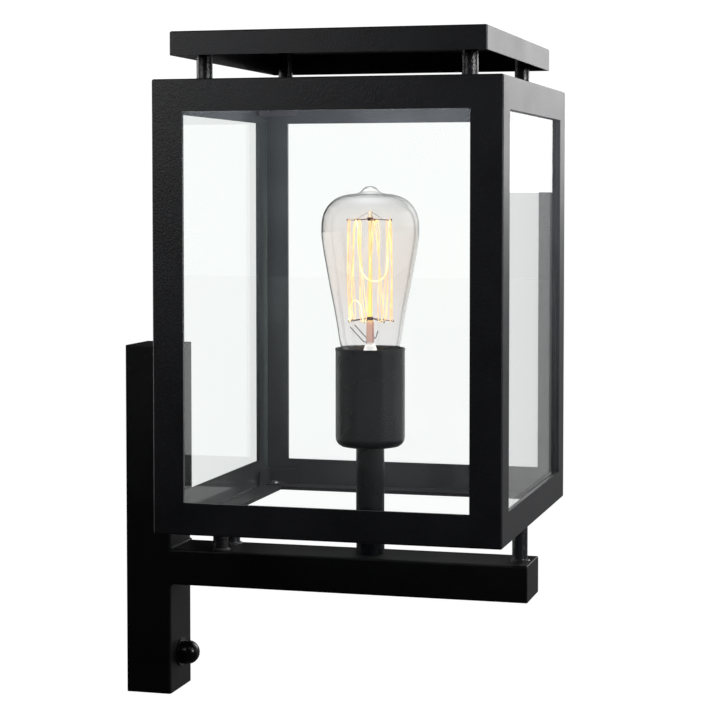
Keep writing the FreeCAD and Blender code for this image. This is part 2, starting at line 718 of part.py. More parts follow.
def tube_nuts():
    below = hex_nut(TUBE_NUT_FLATS, TUBE_R + THREAD_GAP, V(0, MID_Y, ARM_TOP - ARM_SHEET - TUBE_NUT_HIGH),
                    TUBE_NUT_HIGH)
    inside = hex_nut(TUBE_NUT_FLATS, TUBE_R + THREAD_GAP, V(0, MID_Y, CUP_BASE + CUP_WALL), TUBE_NUT_HIGH)
    return Part.makeCompound([below, inside])


def lamp_cup():
    """A deep drawn cup with a rounded bottom edge and a slightly wider rim."""
    bend = 1 - math.sqrt(0.5)
    inner_r = CUP_R - CUP_WALL
    inner_round = CUP_ROUND - CUP_WALL
    floor = CUP_BASE + CUP_WALL
    hole = TUBE_R + FIT_GAP
    edges = [
        line((hole, CUP_BASE), (CUP_R - CUP_ROUND, CUP_BASE)),
        arc((CUP_R - CUP_ROUND, CUP_BASE), (CUP_R - CUP_ROUND * bend, CUP_BASE + CUP_ROUND * bend),
            (CUP_R, CUP_BASE + CUP_ROUND)),
        line((CUP_R, CUP_BASE + CUP_ROUND), (CUP_R, CUP_RIM - 1.6)),
        line((CUP_R, CUP_RIM - 1.6), (CUP_RIM_R, CUP_RIM - 1.2)),
        line((CUP_RIM_R, CUP_RIM - 1.2), (CUP_RIM_R, CUP_RIM)),
        line((CUP_RIM_R, CUP_RIM), (inner_r, CUP_RIM)),
        line((inner_r, CUP_RIM), (inner_r, floor + inner_round)),
        arc((inner_r, floor + inner_round), (inner_r - inner_round * bend, floor + inner_round * bend),
            (inner_r - inner_round, floor)),
        line((inner_r - inner_round, floor), (hole, floor)),
        line((hole, floor), (hole, CUP_BASE)),
    ]
    return spin_edges(edges, 0, MID_Y)


def holder_body():
    """The lampholder's insulating body: a wiring recess below, a floor and a deep bore above."""
    profile = [(HOLDER_RECESS_R, HOLDER_BASE), (HOLDER_R, HOLDER_BASE), (HOLDER_R, HOLDER_TOP),
               (HOLDER_BORE_R, HOLDER_TOP), (HOLDER_BORE_R, HOLDER_FLOOR_HIGH), (0, HOLDER_FLOOR_HIGH),
               (0, HOLDER_FLOOR_LOW), (HOLDER_RECESS_R, HOLDER_FLOOR_LOW)]
    body = spin(profile, 0, MID_Y)
    for x in (0, NEUTRAL_X):
        body = body.cut(rod(POST_R + FIT_GAP, V(x, MID_Y, HOLDER_FLOOR_LOW), V(x, MID_Y, HOLDER_FLOOR_HIGH)))
    return body


def thread_wave(inner_r, low, turns):
    """Points up a wall that waves in and out once in each thread pitch."""
    steps = 6
    points = []
    for i in range(turns * steps + 1):
        wave = (1 - math.cos(2 * math.pi * i / steps)) / 2
        points.append((inner_r + THREAD_DEEP * wave, low + THREAD_PITCH * i / steps))
    return points


def screw_shell():
    """The threaded brass shell, with a post down through the holder's floor."""
    low = HOLDER_FLOOR_HIGH + SHELL_LIFT
    floor_top = low + SHELL_FLOOR_THICK
    inner = [(SHELL_IN_R, floor_top)] + thread_wave(SHELL_IN_R, low + 3, THREAD_TURNS)
    inner += [(SHELL_IN_R, HOLDER_TOP - 1)]
    outer = [(r + SHELL_THICK, z) for r, z in reversed(inner)]
    outer[-1] = (SHELL_IN_R + SHELL_THICK, low)
    shell = spin([(SHELL_FLOOR_R, low), (SHELL_FLOOR_R, floor_top)] + inner + outer, 0, MID_Y)
    post_top = low + SHELL_FLOOR_THICK / 2
    post = rod(POST_R, V(NEUTRAL_X, MID_Y, HOLDER_FLOOR_LOW - POST_BELOW), V(NEUTRAL_X, MID_Y, post_top))
    return shell.fuse(post).removeSplitter()


def centre_contact():
    """A sprung tongue on a post, meeting the bulb's end contact."""
    disc_low = BULB_BASE - CONTACT_THICK
    post = rod(POST_R, V(0, MID_Y, HOLDER_FLOOR_LOW - POST_BELOW), V(0, MID_Y, disc_low + CONTACT_THICK / 2))
    disc = rod(CONTACT_R, V(0, MID_Y, disc_low), V(0, MID_Y, BULB_BASE))
    return post.fuse(disc).removeSplitter()


# ---- bulb ----

def bulb_cap_shell():
    """The bulb's threaded cap: a thin wall that narrows to the insulator at its lower end."""
    wall = thread_wave(CAP_R - THREAD_DEEP, CAP_LOW + 2.5, CAP_THREAD_TURNS)
    skirt = [(CAP_SKIRT_R, CAP_TOP - CAP_SKIRT_HIGH), (CAP_SKIRT_R, CAP_TOP)]
    outer = [(CAP_EYE_R, CAP_LOW)] + wall + skirt
    inner = [(r - CAP_THICK, z) for r, z in reversed(outer[1:])]
    return spin(outer + inner + [(CAP_EYE_R, CAP_LOW + 0.5)], 0, MID_Y)


def bulb_insulator():
    """The black glass cone that closes the cap around its end contact."""
    low = BULB_BASE + SOLDER_HIGH
    high = CAP_LOW + INSULATOR_LIP
    profile = [(SOLDER_TOP_R, low), (INSULATOR_R, CAP_LOW), (INSULATOR_R, high), (0, high), (0, low)]
    return spin(profile, 0, MID_Y)


def bulb_contact():
    high = BULB_BASE + SOLDER_HIGH
    return spin([(0, BULB_BASE), (SOLDER_R, BULB_BASE), (SOLDER_TOP_R, high), (0, high)], 0, MID_Y)


def glass_outline(inset):
    """The envelope's half outline, from its neck up to the tip, moved in by the inset."""
    lean = math.radians(GLASS_CONE_LEAN)
    start = (NECK_R - inset, CAP_TOP - NECK_IN_CAP)
    neck_top = (NECK_R - inset, CAP_TOP + 0.3)
    wide = (GLASS_R - inset, GLASS_WIDEST)
    belly_top = (wide[0] - GLASS_BELLY_R * (1 - math.cos(lean)), GLASS_WIDEST - GLASS_BELLY_R * math.sin(lean))
    half = lean / 2
    belly_mid = (wide[0] - GLASS_BELLY_R * (1 - math.cos(half)), GLASS_WIDEST - GLASS_BELLY_R * math.sin(half))
    shoulder_z = CAP_TOP + SHOULDER_RISE
    shoulder = (belly_top[0] - math.tan(lean) * (belly_top[1] - shoulder_z), shoulder_z)
    shoulder_mid = (shoulder[0] - 1.8, shoulder_z - 3.4)
    tip_foot = (GLASS_TIP_R - inset * 0.6, GLASS_DOME - inset)
    (upper_r, upper_rise), (crown_r, crown_rise) = DOME_POINTS
    dome = Part.BSplineCurve()
    dome.interpolate(Points=[V(wide[0], 0, wide[1]),
                             V(upper_r - inset * 0.9, 0, GLASS_WIDEST + upper_rise - inset * 0.4),
                             V(crown_r - inset * 0.6, 0, GLASS_WIDEST + crown_rise - inset * 0.8),
                             V(tip_foot[0], 0, tip_foot[1])],
                     InitialTangent=V(0, 0, 1), FinalTangent=V(-1, 0, 0.05))
    edges = [
        line(start, neck_top),
        arc(neck_top, shoulder_mid, shoulder),
        line(shoulder, belly_top),
        arc(belly_top, belly_mid, wide),
        dome.toShape(),
        axis_arc(tip_foot, GLASS_TIP - inset),
    ]
    return edges, start


def bulb_glass():
    """A thin glass envelope of even wall thickness, open at the neck."""
    outer, outer_start = glass_outline(0)
    inner, inner_start = glass_outline(GLASS_WALL)
    edges = outer + inner + [line(outer_start, inner_start),
                             line((0, GLASS_TIP), (0, GLASS_TIP - GLASS_WALL))]
    return spin_edges(Part.__sortEdges__(edges), 0, MID_Y)


def bulb_mount():
    """The glass mount: a flare at the neck, a pinched stem and a thin rod up the middle."""
    flare_low = CAP_TOP - 3.5
    waist = CUP_RIM - 1.2
    stalk_low = CUP_RIM + 3.0
    rod_low = FILAMENT_LOW - 1.0
    rod_top = FILAMENT_HIGH + ROD_TOP_RISE
    profile = [(0, flare_low + 1.0), (FLARE_R - 0.6, flare_low), (FLARE_R, flare_low + 1.0), (6.0, waist - 3.0),
               (PINCH_R, waist), (STALK_R, stalk_low), (STALK_R, rod_low), (ROD_R, rod_low + 1.5),
               (ROD_R, rod_top), (0, rod_top)]
    return spin(profile, 0, MID_Y)


def crown_places(z, turn):
    places = []
    for i in range(SUPPORT_COUNT):
        a = 2 * math.pi * (i + turn) / SUPPORT_COUNT
        places.append(V(FILAMENT_RING_R * math.cos(a), MID_Y + FILAMENT_RING_R * math.sin(a), z))
    return places


def crown(hub_z, tip_z, turn):
    """Wires spreading from a small collar on the glass rod to hooks on a circle."""
    collar = ring(HUB_R, ROD_R, V(0, MID_Y, hub_z - 1), V(0, MID_Y, hub_z + 1))
    for place in crown_places(tip_z, turn):
        direction = V(place.x, place.y - MID_Y, 0).normalize()
        inner = V(0, MID_Y, hub_z) + direction * (ROD_R + HUB_R) / 2
        collar = collar.fuse(rod(FILAMENT_WIRE_R, inner, place))
    return collar


def support_wires():
    upper = crown(FILAMENT_HIGH + UPPER_HUB_RISE, FILAMENT_HIGH + HOOK_PAST, 0)
    lower = crown(FILAMENT_LOW + LOWER_HUB_RISE, FILAMENT_LOW - HOOK_PAST, 0.5)
    return Part.makeCompound([upper, lower])


def filament():
    """One thin wire that zigzags up and down between the two crowns."""
    tops = crown_places(FILAMENT_HIGH, 0)
    lows = crown_places(FILAMENT_LOW, 0.5)
    stops = []
    for top, low in zip(tops, lows):
        stops += [top, low]
    wire = Part.makeSphere(FILAMENT_WIRE_R, stops[0])
    for a, b in zip(stops, stops[1:]):
        wire = wire.fuse([rod(FILAMENT_WIRE_R, a, b), Part.makeSphere(FILAMENT_WIRE_R, b)])
    return wire.removeSplitter()


def leadin_wires():
    """Two stiff wires that rise from the pinched stem towards the filament's ends."""
    low = CUP_RIM + 6.0
    high = FILAMENT_LOW - 3.0
    wires = [rod(LEAD_IN_R, V(side * LEAD_IN_FOOT, MID_Y, low), V(side * LEAD_IN_REACH, MID_Y, high))
             for side in (-1, 1)]
    return Part.makeCompound(wires)


# ---- write every node ----

def write_frame():
    for quarter, name in enumerate(["left", "outer", "right", "wall"]):
        save("bottom_rail_" + name, with_clip_holes(bottom_rail(quarter)))
        save("top_rail_" + name, with_top_clip_holes(top_rail(quarter)))
    for quarter, name in enumerate(["outer_left", "outer_right", "wall_right", "wall_left"]):
        save("post_" + name, corner_post(quarter))
    save("top_plate", top_plate())


def write_glazing():
    save("pane_left", side_pane(-1))
    save("pane_right", side_pane(1))
    save("pane_outer", cross_pane(-1))
    save("pane_wall", cross_pane(1))
    signs = [(sx, sy) for sx in (-1, 1) for sy in (-1, 1)]
    clips = [corner_clip(sx, sy) for sx, sy in signs]
    save("corner_clips", Part.makeCompound(clips + [top_clip_shift(c, TOP_PLATE_THICK) for c in clips]))
    screws = [clip_screw(x, y, FRAME_BASE) for x, y in clip_screw_places()]
    save("clip_screws", Part.makeCompound(screws + [top_clip_shift(s, TOP_PLATE_THICK) for s in screws]))


def write_roof():
    save("roof_tray", roof_tray())
    save("roof_pins", Part.makeCompound([roof_pin(x, y) for x, y in roof_pin_places()]))
    save("roof_pin_nuts", Part.makeCompound([roof_pin_nut(x, y) for x, y in roof_pin_places()]))


def write_column():
    save("column_shell", column_shell())
    save("column_top_cap", column_cap(COLUMN_HALF_HIGH - TOP_CAP_THICK, COLUMN_HALF_HIGH))
    save("column_bottom_cap", bottom_cap())
    save("wall_bracket", wall_bracket())
    save("cable_grommet", cable_grommet())
    save("locking_screw", locking_screw())
    save("terminal_block", terminal_block())
    save("terminal_screws", terminal_screws())
    save("earth_screw", earth_screw())
    save("earth_tag", earth_tag())
    save("lead_earth", earth_lead())


def write_sensor():
    collar = ring(COLLAR_R, LENS_SPIGOT_R + THREAD_GAP, sensor_point(0), sensor_point(COLLAR_THICK))
    save("sensor_lens", sensor_lens())
    save("sensor_collar", collar)
    save("sensor_nut", sensor_nut())
    save("sensor_board", sensor_board())
    save("sensor_can", sensor_can())
    save("sensor_relay", sensor_relay())
    save("sensor_wires", sensor_wires())


def write_arm():
    save("arm_tube", arm_tube())
    save("arm_end_cap", arm_end_cap())
    save("lantern_pins", lantern_pins())


def write_lamp():
    save("stem_tube", stem_tube())
    save("threaded_tube", threaded_tube())
    save("tube_nuts", tube_nuts())
    save("lamp_cup", lamp_cup())
    save("holder_body", holder_body())
    save("screw_shell", screw_shell())
    save("centre_contact", centre_contact())
    save("lead_live", lamp_lead(-1, HOLDER_FLOOR_LOW - POST_BELOW, 0))
    save("lead_neutral", lamp_lead(1, HOLDER_FLOOR_LOW - POST_BELOW, NEUTRAL_X))


def write_bulb():
    save("bulb_cap_shell", bulb_cap_shell())
    save("bulb_insulator", bulb_insulator())
    save("bulb_contact", bulb_contact())
    save("bulb_glass", bulb_glass())
    save("bulb_mount", bulb_mount())
    save("bulb_support_wires", support_wires())
    save("bulb_filament", filament())
    save("bulb_leadin_wires", leadin_wires())


write_frame()
write_glazing()
write_roof()
write_column()
write_sensor()
write_arm()
write_lamp()
write_bulb()
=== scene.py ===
"""Outdoor wall lantern: a glazed steel box on an arm, with a raised roof and a movement sensor."""

import math
import random

import bmesh
import bpy
from mathutils import Matrix, Vector


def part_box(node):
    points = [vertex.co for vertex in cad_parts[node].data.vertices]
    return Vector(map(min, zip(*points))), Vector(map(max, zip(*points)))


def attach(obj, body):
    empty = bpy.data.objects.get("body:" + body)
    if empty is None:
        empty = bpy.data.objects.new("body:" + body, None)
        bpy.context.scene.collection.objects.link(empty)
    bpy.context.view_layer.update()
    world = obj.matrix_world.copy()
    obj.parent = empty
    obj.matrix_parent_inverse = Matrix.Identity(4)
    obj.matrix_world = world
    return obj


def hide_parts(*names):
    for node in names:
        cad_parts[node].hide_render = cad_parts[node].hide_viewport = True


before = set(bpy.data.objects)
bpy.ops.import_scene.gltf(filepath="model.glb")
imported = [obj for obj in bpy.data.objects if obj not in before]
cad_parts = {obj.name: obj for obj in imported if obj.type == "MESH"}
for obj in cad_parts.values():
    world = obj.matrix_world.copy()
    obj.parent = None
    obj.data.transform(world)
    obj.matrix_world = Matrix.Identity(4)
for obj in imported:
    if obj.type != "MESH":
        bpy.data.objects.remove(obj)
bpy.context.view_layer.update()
scene = bpy.context.scene


# ---- Camera and studio ----
# A long lens at the lantern's left, a little outwards from the wall. Backdrop and floor are white where they
# are seen, straight or through glass, but dim for the light that falls on pieces. That comes mostly from four
# soft lights outside, and a small lamp over the bulb lights the frame's inner faces.

camera = bpy.data.objects.new("camera", bpy.data.cameras.new("camera"))
scene.collection.objects.link(camera)
camera.location = (-1.2611, -0.5008, 0.2161)
camera.data.lens = 98.84
camera.data.shift_y = -0.1
turn, dip = 0.26473, 0.04713
aim = Vector((math.cos(dip) * math.cos(turn), math.cos(dip) * math.sin(turn), -math.sin(dip)))
camera.rotation_euler = aim.to_track_quat("-Z", "Y").to_euler()
scene.camera = camera
scene.view_settings.view_transform = "Standard"


def feed(tree, value, place):
    """Links a socket to a place, or sets a plain number or colour there."""
    if isinstance(value, bpy.types.NodeSocket):
        tree.links.new(value, place)
    else:
        place.default_value = value


def maths(tree, operation, *values):
    """The result of a Math node."""
    node = tree.nodes.new("ShaderNodeMath")
    node.operation = operation
    for place, value in zip(node.inputs, values):
        feed(tree, value, place)
    return node.outputs[0]


def ranged(tree, value, given=(0, 1), wanted=(0, 1), shape="LINEAR"):
    """The value, carried over from one range to another."""
    node = tree.nodes.new("ShaderNodeMapRange")
    node.interpolation_type = shape
    for name, number in zip(("From Min", "From Max", "To Min", "To Max"), (*given, *wanted)):
        node.inputs[name].default_value = number
    tree.links.new(value, node.inputs["Value"])
    return node.outputs["Result"]


def blended(tree, kind, factor, first, second):
    """Two numbers or two colours, mixed by a factor."""
    node = tree.nodes.new("ShaderNodeMix")
    node.data_type = kind
    tree.links.new(factor, node.inputs["Factor"])
    feed(tree, first, node.inputs["A"])
    feed(tree, second, node.inputs["B"])
    return node.outputs["Result"]


def seen_directly(tree):
    """Is 1 for what the camera sees straight or through clear glass, and 0 for light that falls on a piece."""
    path = tree.nodes.new("ShaderNodeLightPath").outputs
    bounces = maths(tree, "ADD", path["Diffuse Depth"], path["Glossy Depth"])
    through = maths(tree, "MULTIPLY", maths(tree, "LESS_THAN", bounces, 0.5), path["Is Transmission Ray"])
    return maths(tree, "MAXIMUM", path["Is Camera Ray"], through)


OUTWARD = (0.75, -0.60, 0.25)
SHADE_SIDE, GLOW_SIDE = 0.002, 0.35
INDOORS_GAIN, INDOORS_LIFT = 1.5, 0.22
BACKDROP = 1.05

studio = bpy.data.worlds.new("studio")
studio.use_nodes = True
scene.world = studio
tree = studio.node_tree
surround = tree.nodes["Background"]
surround.inputs["Color"].default_value = (1.0, 1.0, 1.0, 1.0)
facing = tree.nodes.new("ShaderNodeTexCoord")
towards = tree.nodes.new("ShaderNodeVectorMath")
towards.operation = "DOT_PRODUCT"
towards.inputs[1].default_value = OUTWARD
tree.links.new(facing.outputs["Generated"], towards.inputs[0])
glow = ranged(tree, towards.outputs["Value"], (0.58, 1.0), (SHADE_SIDE, GLOW_SIDE), shape="SMOOTHSTEP")
indoors = tree.nodes.new("ShaderNodeLightPath").outputs["Is Transmission Ray"]
raised = maths(tree, "MULTIPLY", maths(tree, "MULTIPLY_ADD", indoors, INDOORS_GAIN, 1.0), glow)
lit = maths(tree, "MULTIPLY_ADD", indoors, INDOORS_LIFT, raised)
tree.links.new(blended(tree, "FLOAT", seen_directly(tree), lit, BACKDROP), surround.inputs["Strength"])


def soft_light(name, place, size, watts, aim_at, spread):
    """A rectangular light that shines at a point and isn't seen through the glass."""
    lamp = bpy.data.lights.new(name, "AREA")
    lamp.shape = "RECTANGLE"
    lamp.size, lamp.size_y = size
    lamp.energy = watts
    lamp.spread = math.radians(spread)
    fixture = bpy.data.objects.new(name, lamp)
    scene.collection.objects.link(fixture)
    fixture.location = place
    fixture.rotation_euler = (Vector(aim_at) - Vector(place)).to_track_quat("-Z", "Y").to_euler()
    fixture.visible_transmission = False


soft_light("outward_panel", (1.35, -0.80, 0.66), (0.9, 0.9), 3.0, aim_at=(0, -0.27, 0.32), spread=110)
soft_light("outward_box", (-0.46, -1.30, 0.60), (0.25, 0.7), 1.7, aim_at=(0, -0.20, 0.27), spread=70)
soft_light("upper_box", (-0.60, 0.22, 0.46), (0.35, 0.35), 0.15, aim_at=(-0.11, -0.02, 0.28), spread=66)
soft_light("wall_side_box", (0.10, 1.35, 0.25), (0.8, 0.8), 3.0, aim_at=(0, -0.15, 0.10), spread=120)

LAMP_PLACE = (0.0, -0.164, 0.255)
lamp_light = bpy.data.lights.new("lamp_light", "POINT")
lamp_light.energy = 4.5
lamp_light.color = (1.0, 0.96, 0.92)
lamp_light.shadow_soft_size = 0.004
inside_lamp = bpy.data.objects.new("lamp_light", lamp_light)
inside_lamp.location = LAMP_PLACE
inside_lamp.visible_glossy = inside_lamp.visible_transmission = inside_lamp.visible_camera = False
scene.collection.objects.link(inside_lamp)

FLOOR_HALF, FLOOR_Z = 30, -1.1
FLOOR_THROUGH_GLASS = 0.7
FLOOR_MIRRORED = 0.17

floor_mesh = bmesh.new()
bmesh.ops.create_grid(floor_mesh, x_segments=1, y_segments=1, size=FLOOR_HALF)
bmesh.ops.translate(floor_mesh, vec=(0, 0, FLOOR_Z), verts=floor_mesh.verts)
floor = bpy.data.objects.new("floor", bpy.data.meshes.new("floor"))
floor_mesh.to_mesh(floor.data)
floor_mesh.free()
scene.collection.objects.link(floor)
pale = bpy.data.materials.new("pale_floor")
pale.use_nodes = True
tree = pale.node_tree
paint = tree.nodes["Principled BSDF"]
paint.inputs["Base Color"].default_value = (0.12, 0.12, 0.125, 1)
paint.inputs["Roughness"].default_value = 0.9
paint.inputs["Emission Color"].default_value = (1, 1, 1, 1)
path = tree.nodes.new("ShaderNodeLightPath").outputs
position = tree.nodes.new("ShaderNodeTexCoord")
split = tree.nodes.new("ShaderNodeSeparateXYZ")
tree.links.new(position.outputs["Object"], split.inputs[0])
far_side = ranged(tree, split.outputs["X"], (0.2, 2.5), (0, FLOOR_MIRRORED))
mirrored = maths(tree, "MULTIPLY", far_side, path["Is Glossy Ray"])
shine = maths(tree, "MULTIPLY_ADD", path["Is Transmission Ray"], FLOOR_THROUGH_GLASS, mirrored)
tree.links.new(blended(tree, "FLOAT", seen_directly(tree), shine, 1.0), paint.inputs["Emission Strength"])
floor.data.materials.append(pale)


# ---- Wall column ----
# A folded steel channel with a plate welded over each end, all in one fine-textured black powder coat. It
# hides the bracket and the wiring, and hangs open towards the wall.

def fine_grain():
    """Node group: the small orange-peel grain of a sprayed or baked finish, and broad soft patches."""
    group = bpy.data.node_groups.new("fine grain", "ShaderNodeTree")
    for name, start in (("Grain Size", 0.6), ("Patch Size", 40.0)):
        socket = group.interface.new_socket(name, in_out="INPUT", socket_type="NodeSocketFloat")
        socket.default_value = start
    for name in ("Height", "Speckle", "Patches"):
        group.interface.new_socket(name, in_out="OUTPUT", socket_type="NodeSocketFloat")
    sizes = group.nodes.new("NodeGroupInput").outputs
    put = group.nodes.new("NodeGroupOutput").inputs
    place = group.nodes.new("ShaderNodeTexCoord")
    noises = []
    for size, detail, rough in (("Grain Size", 3.0, 0.55), ("Patch Size", 2.0, 0.5)):
        noise = group.nodes.new("ShaderNodeTexNoise")
        noise.inputs["Detail"].default_value = detail
        noise.inputs["Roughness"].default_value = rough
        group.links.new(place.outputs["Object"], noise.inputs["Vector"])
        group.links.new(maths(group, "DIVIDE", 1000.0, sizes[size]), noise.inputs["Scale"])
        noises.append(noise.outputs["Fac"])
    group.links.new(noises[0], put["Height"])
    group.links.new(ranged(group, noises[0], (0.56, 0.74)), put["Speckle"])
    group.links.new(noises[1], put["Patches"])
    return group


GRAIN = fine_grain()


def grained(name, grain, patch):
    """A new material with the grain in it. Returns it, its tree, its shader and the grain's outputs."""
    material = bpy.data.materials.new(name)
    material.use_nodes = True
    tree = material.node_tree
    texture = tree.nodes.new("ShaderNodeGroup")
    texture.node_tree = GRAIN
    texture.inputs["Grain Size"].default_value = grain
    texture.inputs["Patch Size"].default_value = patch
    return material, tree, tree.nodes["Principled BSDF"], texture.outputs


def finish(name, dark, light, roughness, metallic=0.0, grain=0.6, depth=0.02, patch=40.0, gloss=0.5):
    """A solid finish whose colour and roughness drift between two values, with a fine grain."""
    material, tree, shader, texture = grained(name, grain, patch)
    shader.inputs["Metallic"].default_value = metallic
    shader.inputs["Specular IOR Level"].default_value = gloss
    mixed = maths(tree, "MULTIPLY_ADD", texture["Speckle"], 0.5, texture["Patches"])
    tree.links.new(blended(tree, "RGBA", mixed, (*dark, 1), (*light, 1)), shader.inputs["Base Color"])
    tree.links.new(ranged(tree, texture["Patches"], wanted=roughness), shader.inputs["Roughness"])
    bump = tree.nodes.new("ShaderNodeBump")
    bump.inputs["Strength"].default_value = 1.0
    bump.inputs["Distance"].default_value = depth / 1000
    tree.links.new(texture["Height"], bump.inputs["Height"])
    tree.links.new(bump.outputs["Normal"], shader.inputs["Normal"])
    return material


def span(node):
    """A node's lowest and highest corners in millimetres."""
    low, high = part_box(node)
    return low * 1000, high * 1000


def lay(name, bm, material, node, body="lantern", crease=34):
    """Turns a mesh drawn in millimetres into a finished piece that stands for a node."""
    bmesh.ops.remove_doubles(bm, verts=bm.verts[:], dist=0.0005)
    bmesh.ops.scale(bm, vec=(0.001, 0.001, 0.001), verts=bm.verts[:])
    bmesh.ops.recalc_face_normals(bm, faces=bm.faces[:])
    mesh = bpy.data.meshes.new(name)
    bm.to_mesh(mesh)
    bm.free()
    for face in mesh.polygons:
        face.use_smooth = True
    mesh.set_sharp_from_angle(angle=math.radians(crease))
    mesh.materials.append(material)
    piece = bpy.data.objects.new(name, mesh)
    scene.collection.objects.link(piece)
    even = piece.modifiers.new("even shading", "WEIGHTED_NORMAL")
    even.keep_sharp = True
    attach(piece, body)
    if node:
        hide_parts(node)
    return piece


def round_edges(bm, edges, offset, segments):
    bmesh.ops.bevel(bm, geom=edges, offset=offset, offset_type="OFFSET", segments=segments, profile=0.5,
                    affect="EDGES", material=-1, clamp_overlap=True)


def block(bm, low, high):
    """A rectangular block between two corners. Returns its corners."""
    low, high = Vector(low), Vector(high)
    size = high - low
    place = Matrix.Translation((low + high) / 2) @ Matrix.Diagonal((size.x, size.y, size.z, 1))
    return bmesh.ops.create_cube(bm, size=1, matrix=place)["verts"]


def upright(edge):
    a, b = (vert.co for vert in edge.verts)
    return abs(a.z - b.z) > 1 and abs(a.x - b.x) < 0.01 and abs(a.y - b.y) < 0.01


# This coat is darker than the frame's black coat: painted shade, for the shadow that the column and arm lie in
# below the lantern.
SHADED_ARM_COAT = finish("arm_powder_coat_painted_shade", (0.001, 0.001, 0.0012), (0.007, 0.007, 0.008), (0.40, 0.52),
                  grain=1.3, depth=0.12, gloss=0.32)

COLUMN_SHEET = 2.0
COLUMN_ROUND = 1.8
CAP_ROUND = 0.5

low, high = span("column_shell")
bm = bmesh.new()
block(bm, low, high)
open_faces = [f for f in bm.faces if abs(f.normal.z) > 0.5 or f.normal.y > 0.5]
bmesh.ops.delete(bm, geom=open_faces, context="FACES")
round_edges(bm, [e for e in bm.edges if upright(e) and e.verts[0].co.y < low.y + 1], COLUMN_ROUND, 5)
bmesh.ops.solidify(bm, geom=bm.faces[:], thickness=COLUMN_SHEET)
lay("column_channel", bm, SHADED_ARM_COAT, "column_shell")

for node, label in (("column_top_cap", "column_top_plate"), ("column_bottom_cap", "column_bottom_plate")):
    low, high = span(node)
    bm = bmesh.new()
    block(bm, low, high)
    round_edges(bm, [e for e in bm.edges if upright(e) and e.verts[0].co.y < low.y + 1], COLUMN_ROUND, 5)
    outer_z = high.z if node == "column_top_cap" else low.z
    rim = [e for e in bm.edges if all(abs(v.co.z - outer_z) < 0.01 for v in e.verts)]
    round_edges(bm, rim, CAP_ROUND, 3)
    lay(label, bm, SHADED_ARM_COAT, node)


# ---- Bracket and fixings in the column ----
# A zinc plated flat bar on the wall with a tab at each end. The column hooks over it, and one countersunk
# screw from below locks it. A rubber grommet lines the cable hole, and a pan-head screw holds the earth tag.

ZINC = finish("zinc_plate", (0.42, 0.43, 0.45), (0.66, 0.67, 0.70), (0.25, 0.42), metallic=1.0, grain=0.25,
              depth=0.01, patch=18.0)
RUBBER = finish("grommet_rubber", (0.012, 0.012, 0.012), (0.035, 0.035, 0.034), (0.62, 0.80), grain=0.3,
                depth=0.02, patch=6.0, gloss=0.3)


def coat(material, *names):
    """Gives CAD nodes, whose shapes are right as they are, their finish."""
    for name in names:
        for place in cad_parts[name].material_slots:
            place.material = material


def turned(bm, outline, x, y, closed=False, steps=56):
    """Spins an outline of (radius, height) points about the upright line through x, y."""
    verts = [bm.verts.new((x + r, y, z)) for r, z in outline]
    edges = [bm.edges.new(pair) for pair in zip(verts, verts[1:])]
    if closed:
        edges.append(bm.edges.new((verts[-1], verts[0])))
    bmesh.ops.spin(bm, geom=verts + edges, cent=(x, y, 0), axis=(0, 0, 1), angle=2 * math.pi, steps=steps,
                   use_merge=True, use_duplicate=False)


def hexagonal(bm, x, y, flats, least, most=1000.0):
    """Draws the points whose radius lies between two values in to a hexagon of that width across its flats."""
    for vert in bm.verts:
        away = Vector((vert.co.x - x, vert.co.y - y))
        if least < away.length < most:
            side_r = flats / 2 / math.cos(math.atan2(away.y, away.x) % (math.pi / 3) - math.pi / 6)
            if away.length > side_r:
                away *= side_r / away.length
                vert.co.x, vert.co.y = x + away.x, y + away.y


def face_outwards(bm):
    """Lays what was drawn upright on its side: its height becomes the distance out from the wall."""
    bmesh.ops.rotate(bm, cent=(0, 0, 0), matrix=Matrix.Rotation(math.pi / 2, 3, "X"), verts=bm.verts[:])


coat(ZINC, "wall_bracket")

low, high = span("cable_grommet")
lip_r, bore_r = high.x, 4.0
deep = -low.y
bm = bmesh.new()
turned(bm, [(bore_r, 0.4), (bore_r + 0.4, 0), (lip_r - 2.4, 0), (lip_r - 2.0, 0.4), (lip_r - 2.0, deep - 1.5),
            (lip_r, deep - 1.5), (lip_r, deep - 0.6), (lip_r - 0.6, deep), (bore_r + 0.5, deep),
            (bore_r, deep - 0.5)], 0, (low.z + high.z) / 2, closed=True)
face_outwards(bm)
lay("grommet_ring", bm, RUBBER, "cable_grommet")

low, high = span("locking_screw")
head_r, shank_r = high.x, high.x / 2
SOCKET_FLATS = 3.0
socket_r = SOCKET_FLATS / math.sqrt(3)
bm = bmesh.new()
turned(bm, [(0, low.z + 2.0), (socket_r, low.z + 2.0), (socket_r, low.z), (head_r - 0.25, low.z),
            (head_r, low.z + 0.2), (shank_r, low.z + head_r - shank_r), (shank_r, high.z - 0.7),
            (shank_r - 0.6, high.z), (0, high.z)], 0, (low.y + high.y) / 2, steps=36)
hexagonal(bm, 0, (low.y + high.y) / 2, SOCKET_FLATS, 0.5, socket_r + 0.1)
lay("countersunk_locking_screw", bm, ZINC, "locking_screw")

low, high = span("earth_screw")
head_r, shank_r = high.x, 2.0
seat, top = 4.0, -low.y
bm = bmesh.new()
turned(bm, [(0, 0), (shank_r - 0.4, 0), (shank_r, 0.4), (shank_r, seat), (head_r - 0.2, seat),
            (head_r, seat + 0.3), (head_r - 0.3, top - 0.9), (head_r - 1.4, top - 0.1), (socket_r + 0.2, top),
            (socket_r, top - 0.2), (socket_r, top - 1.4), (0, top - 1.4)], 0, (low.z + high.z) / 2, steps=36)
hexagonal(bm, 0, (low.z + high.z) / 2, SOCKET_FLATS, 0.5, socket_r + 0.1)
face_outwards(bm)
lay("earth_terminal_screw", bm, ZINC, "earth_screw")
coat(ZINC, "earth_tag")


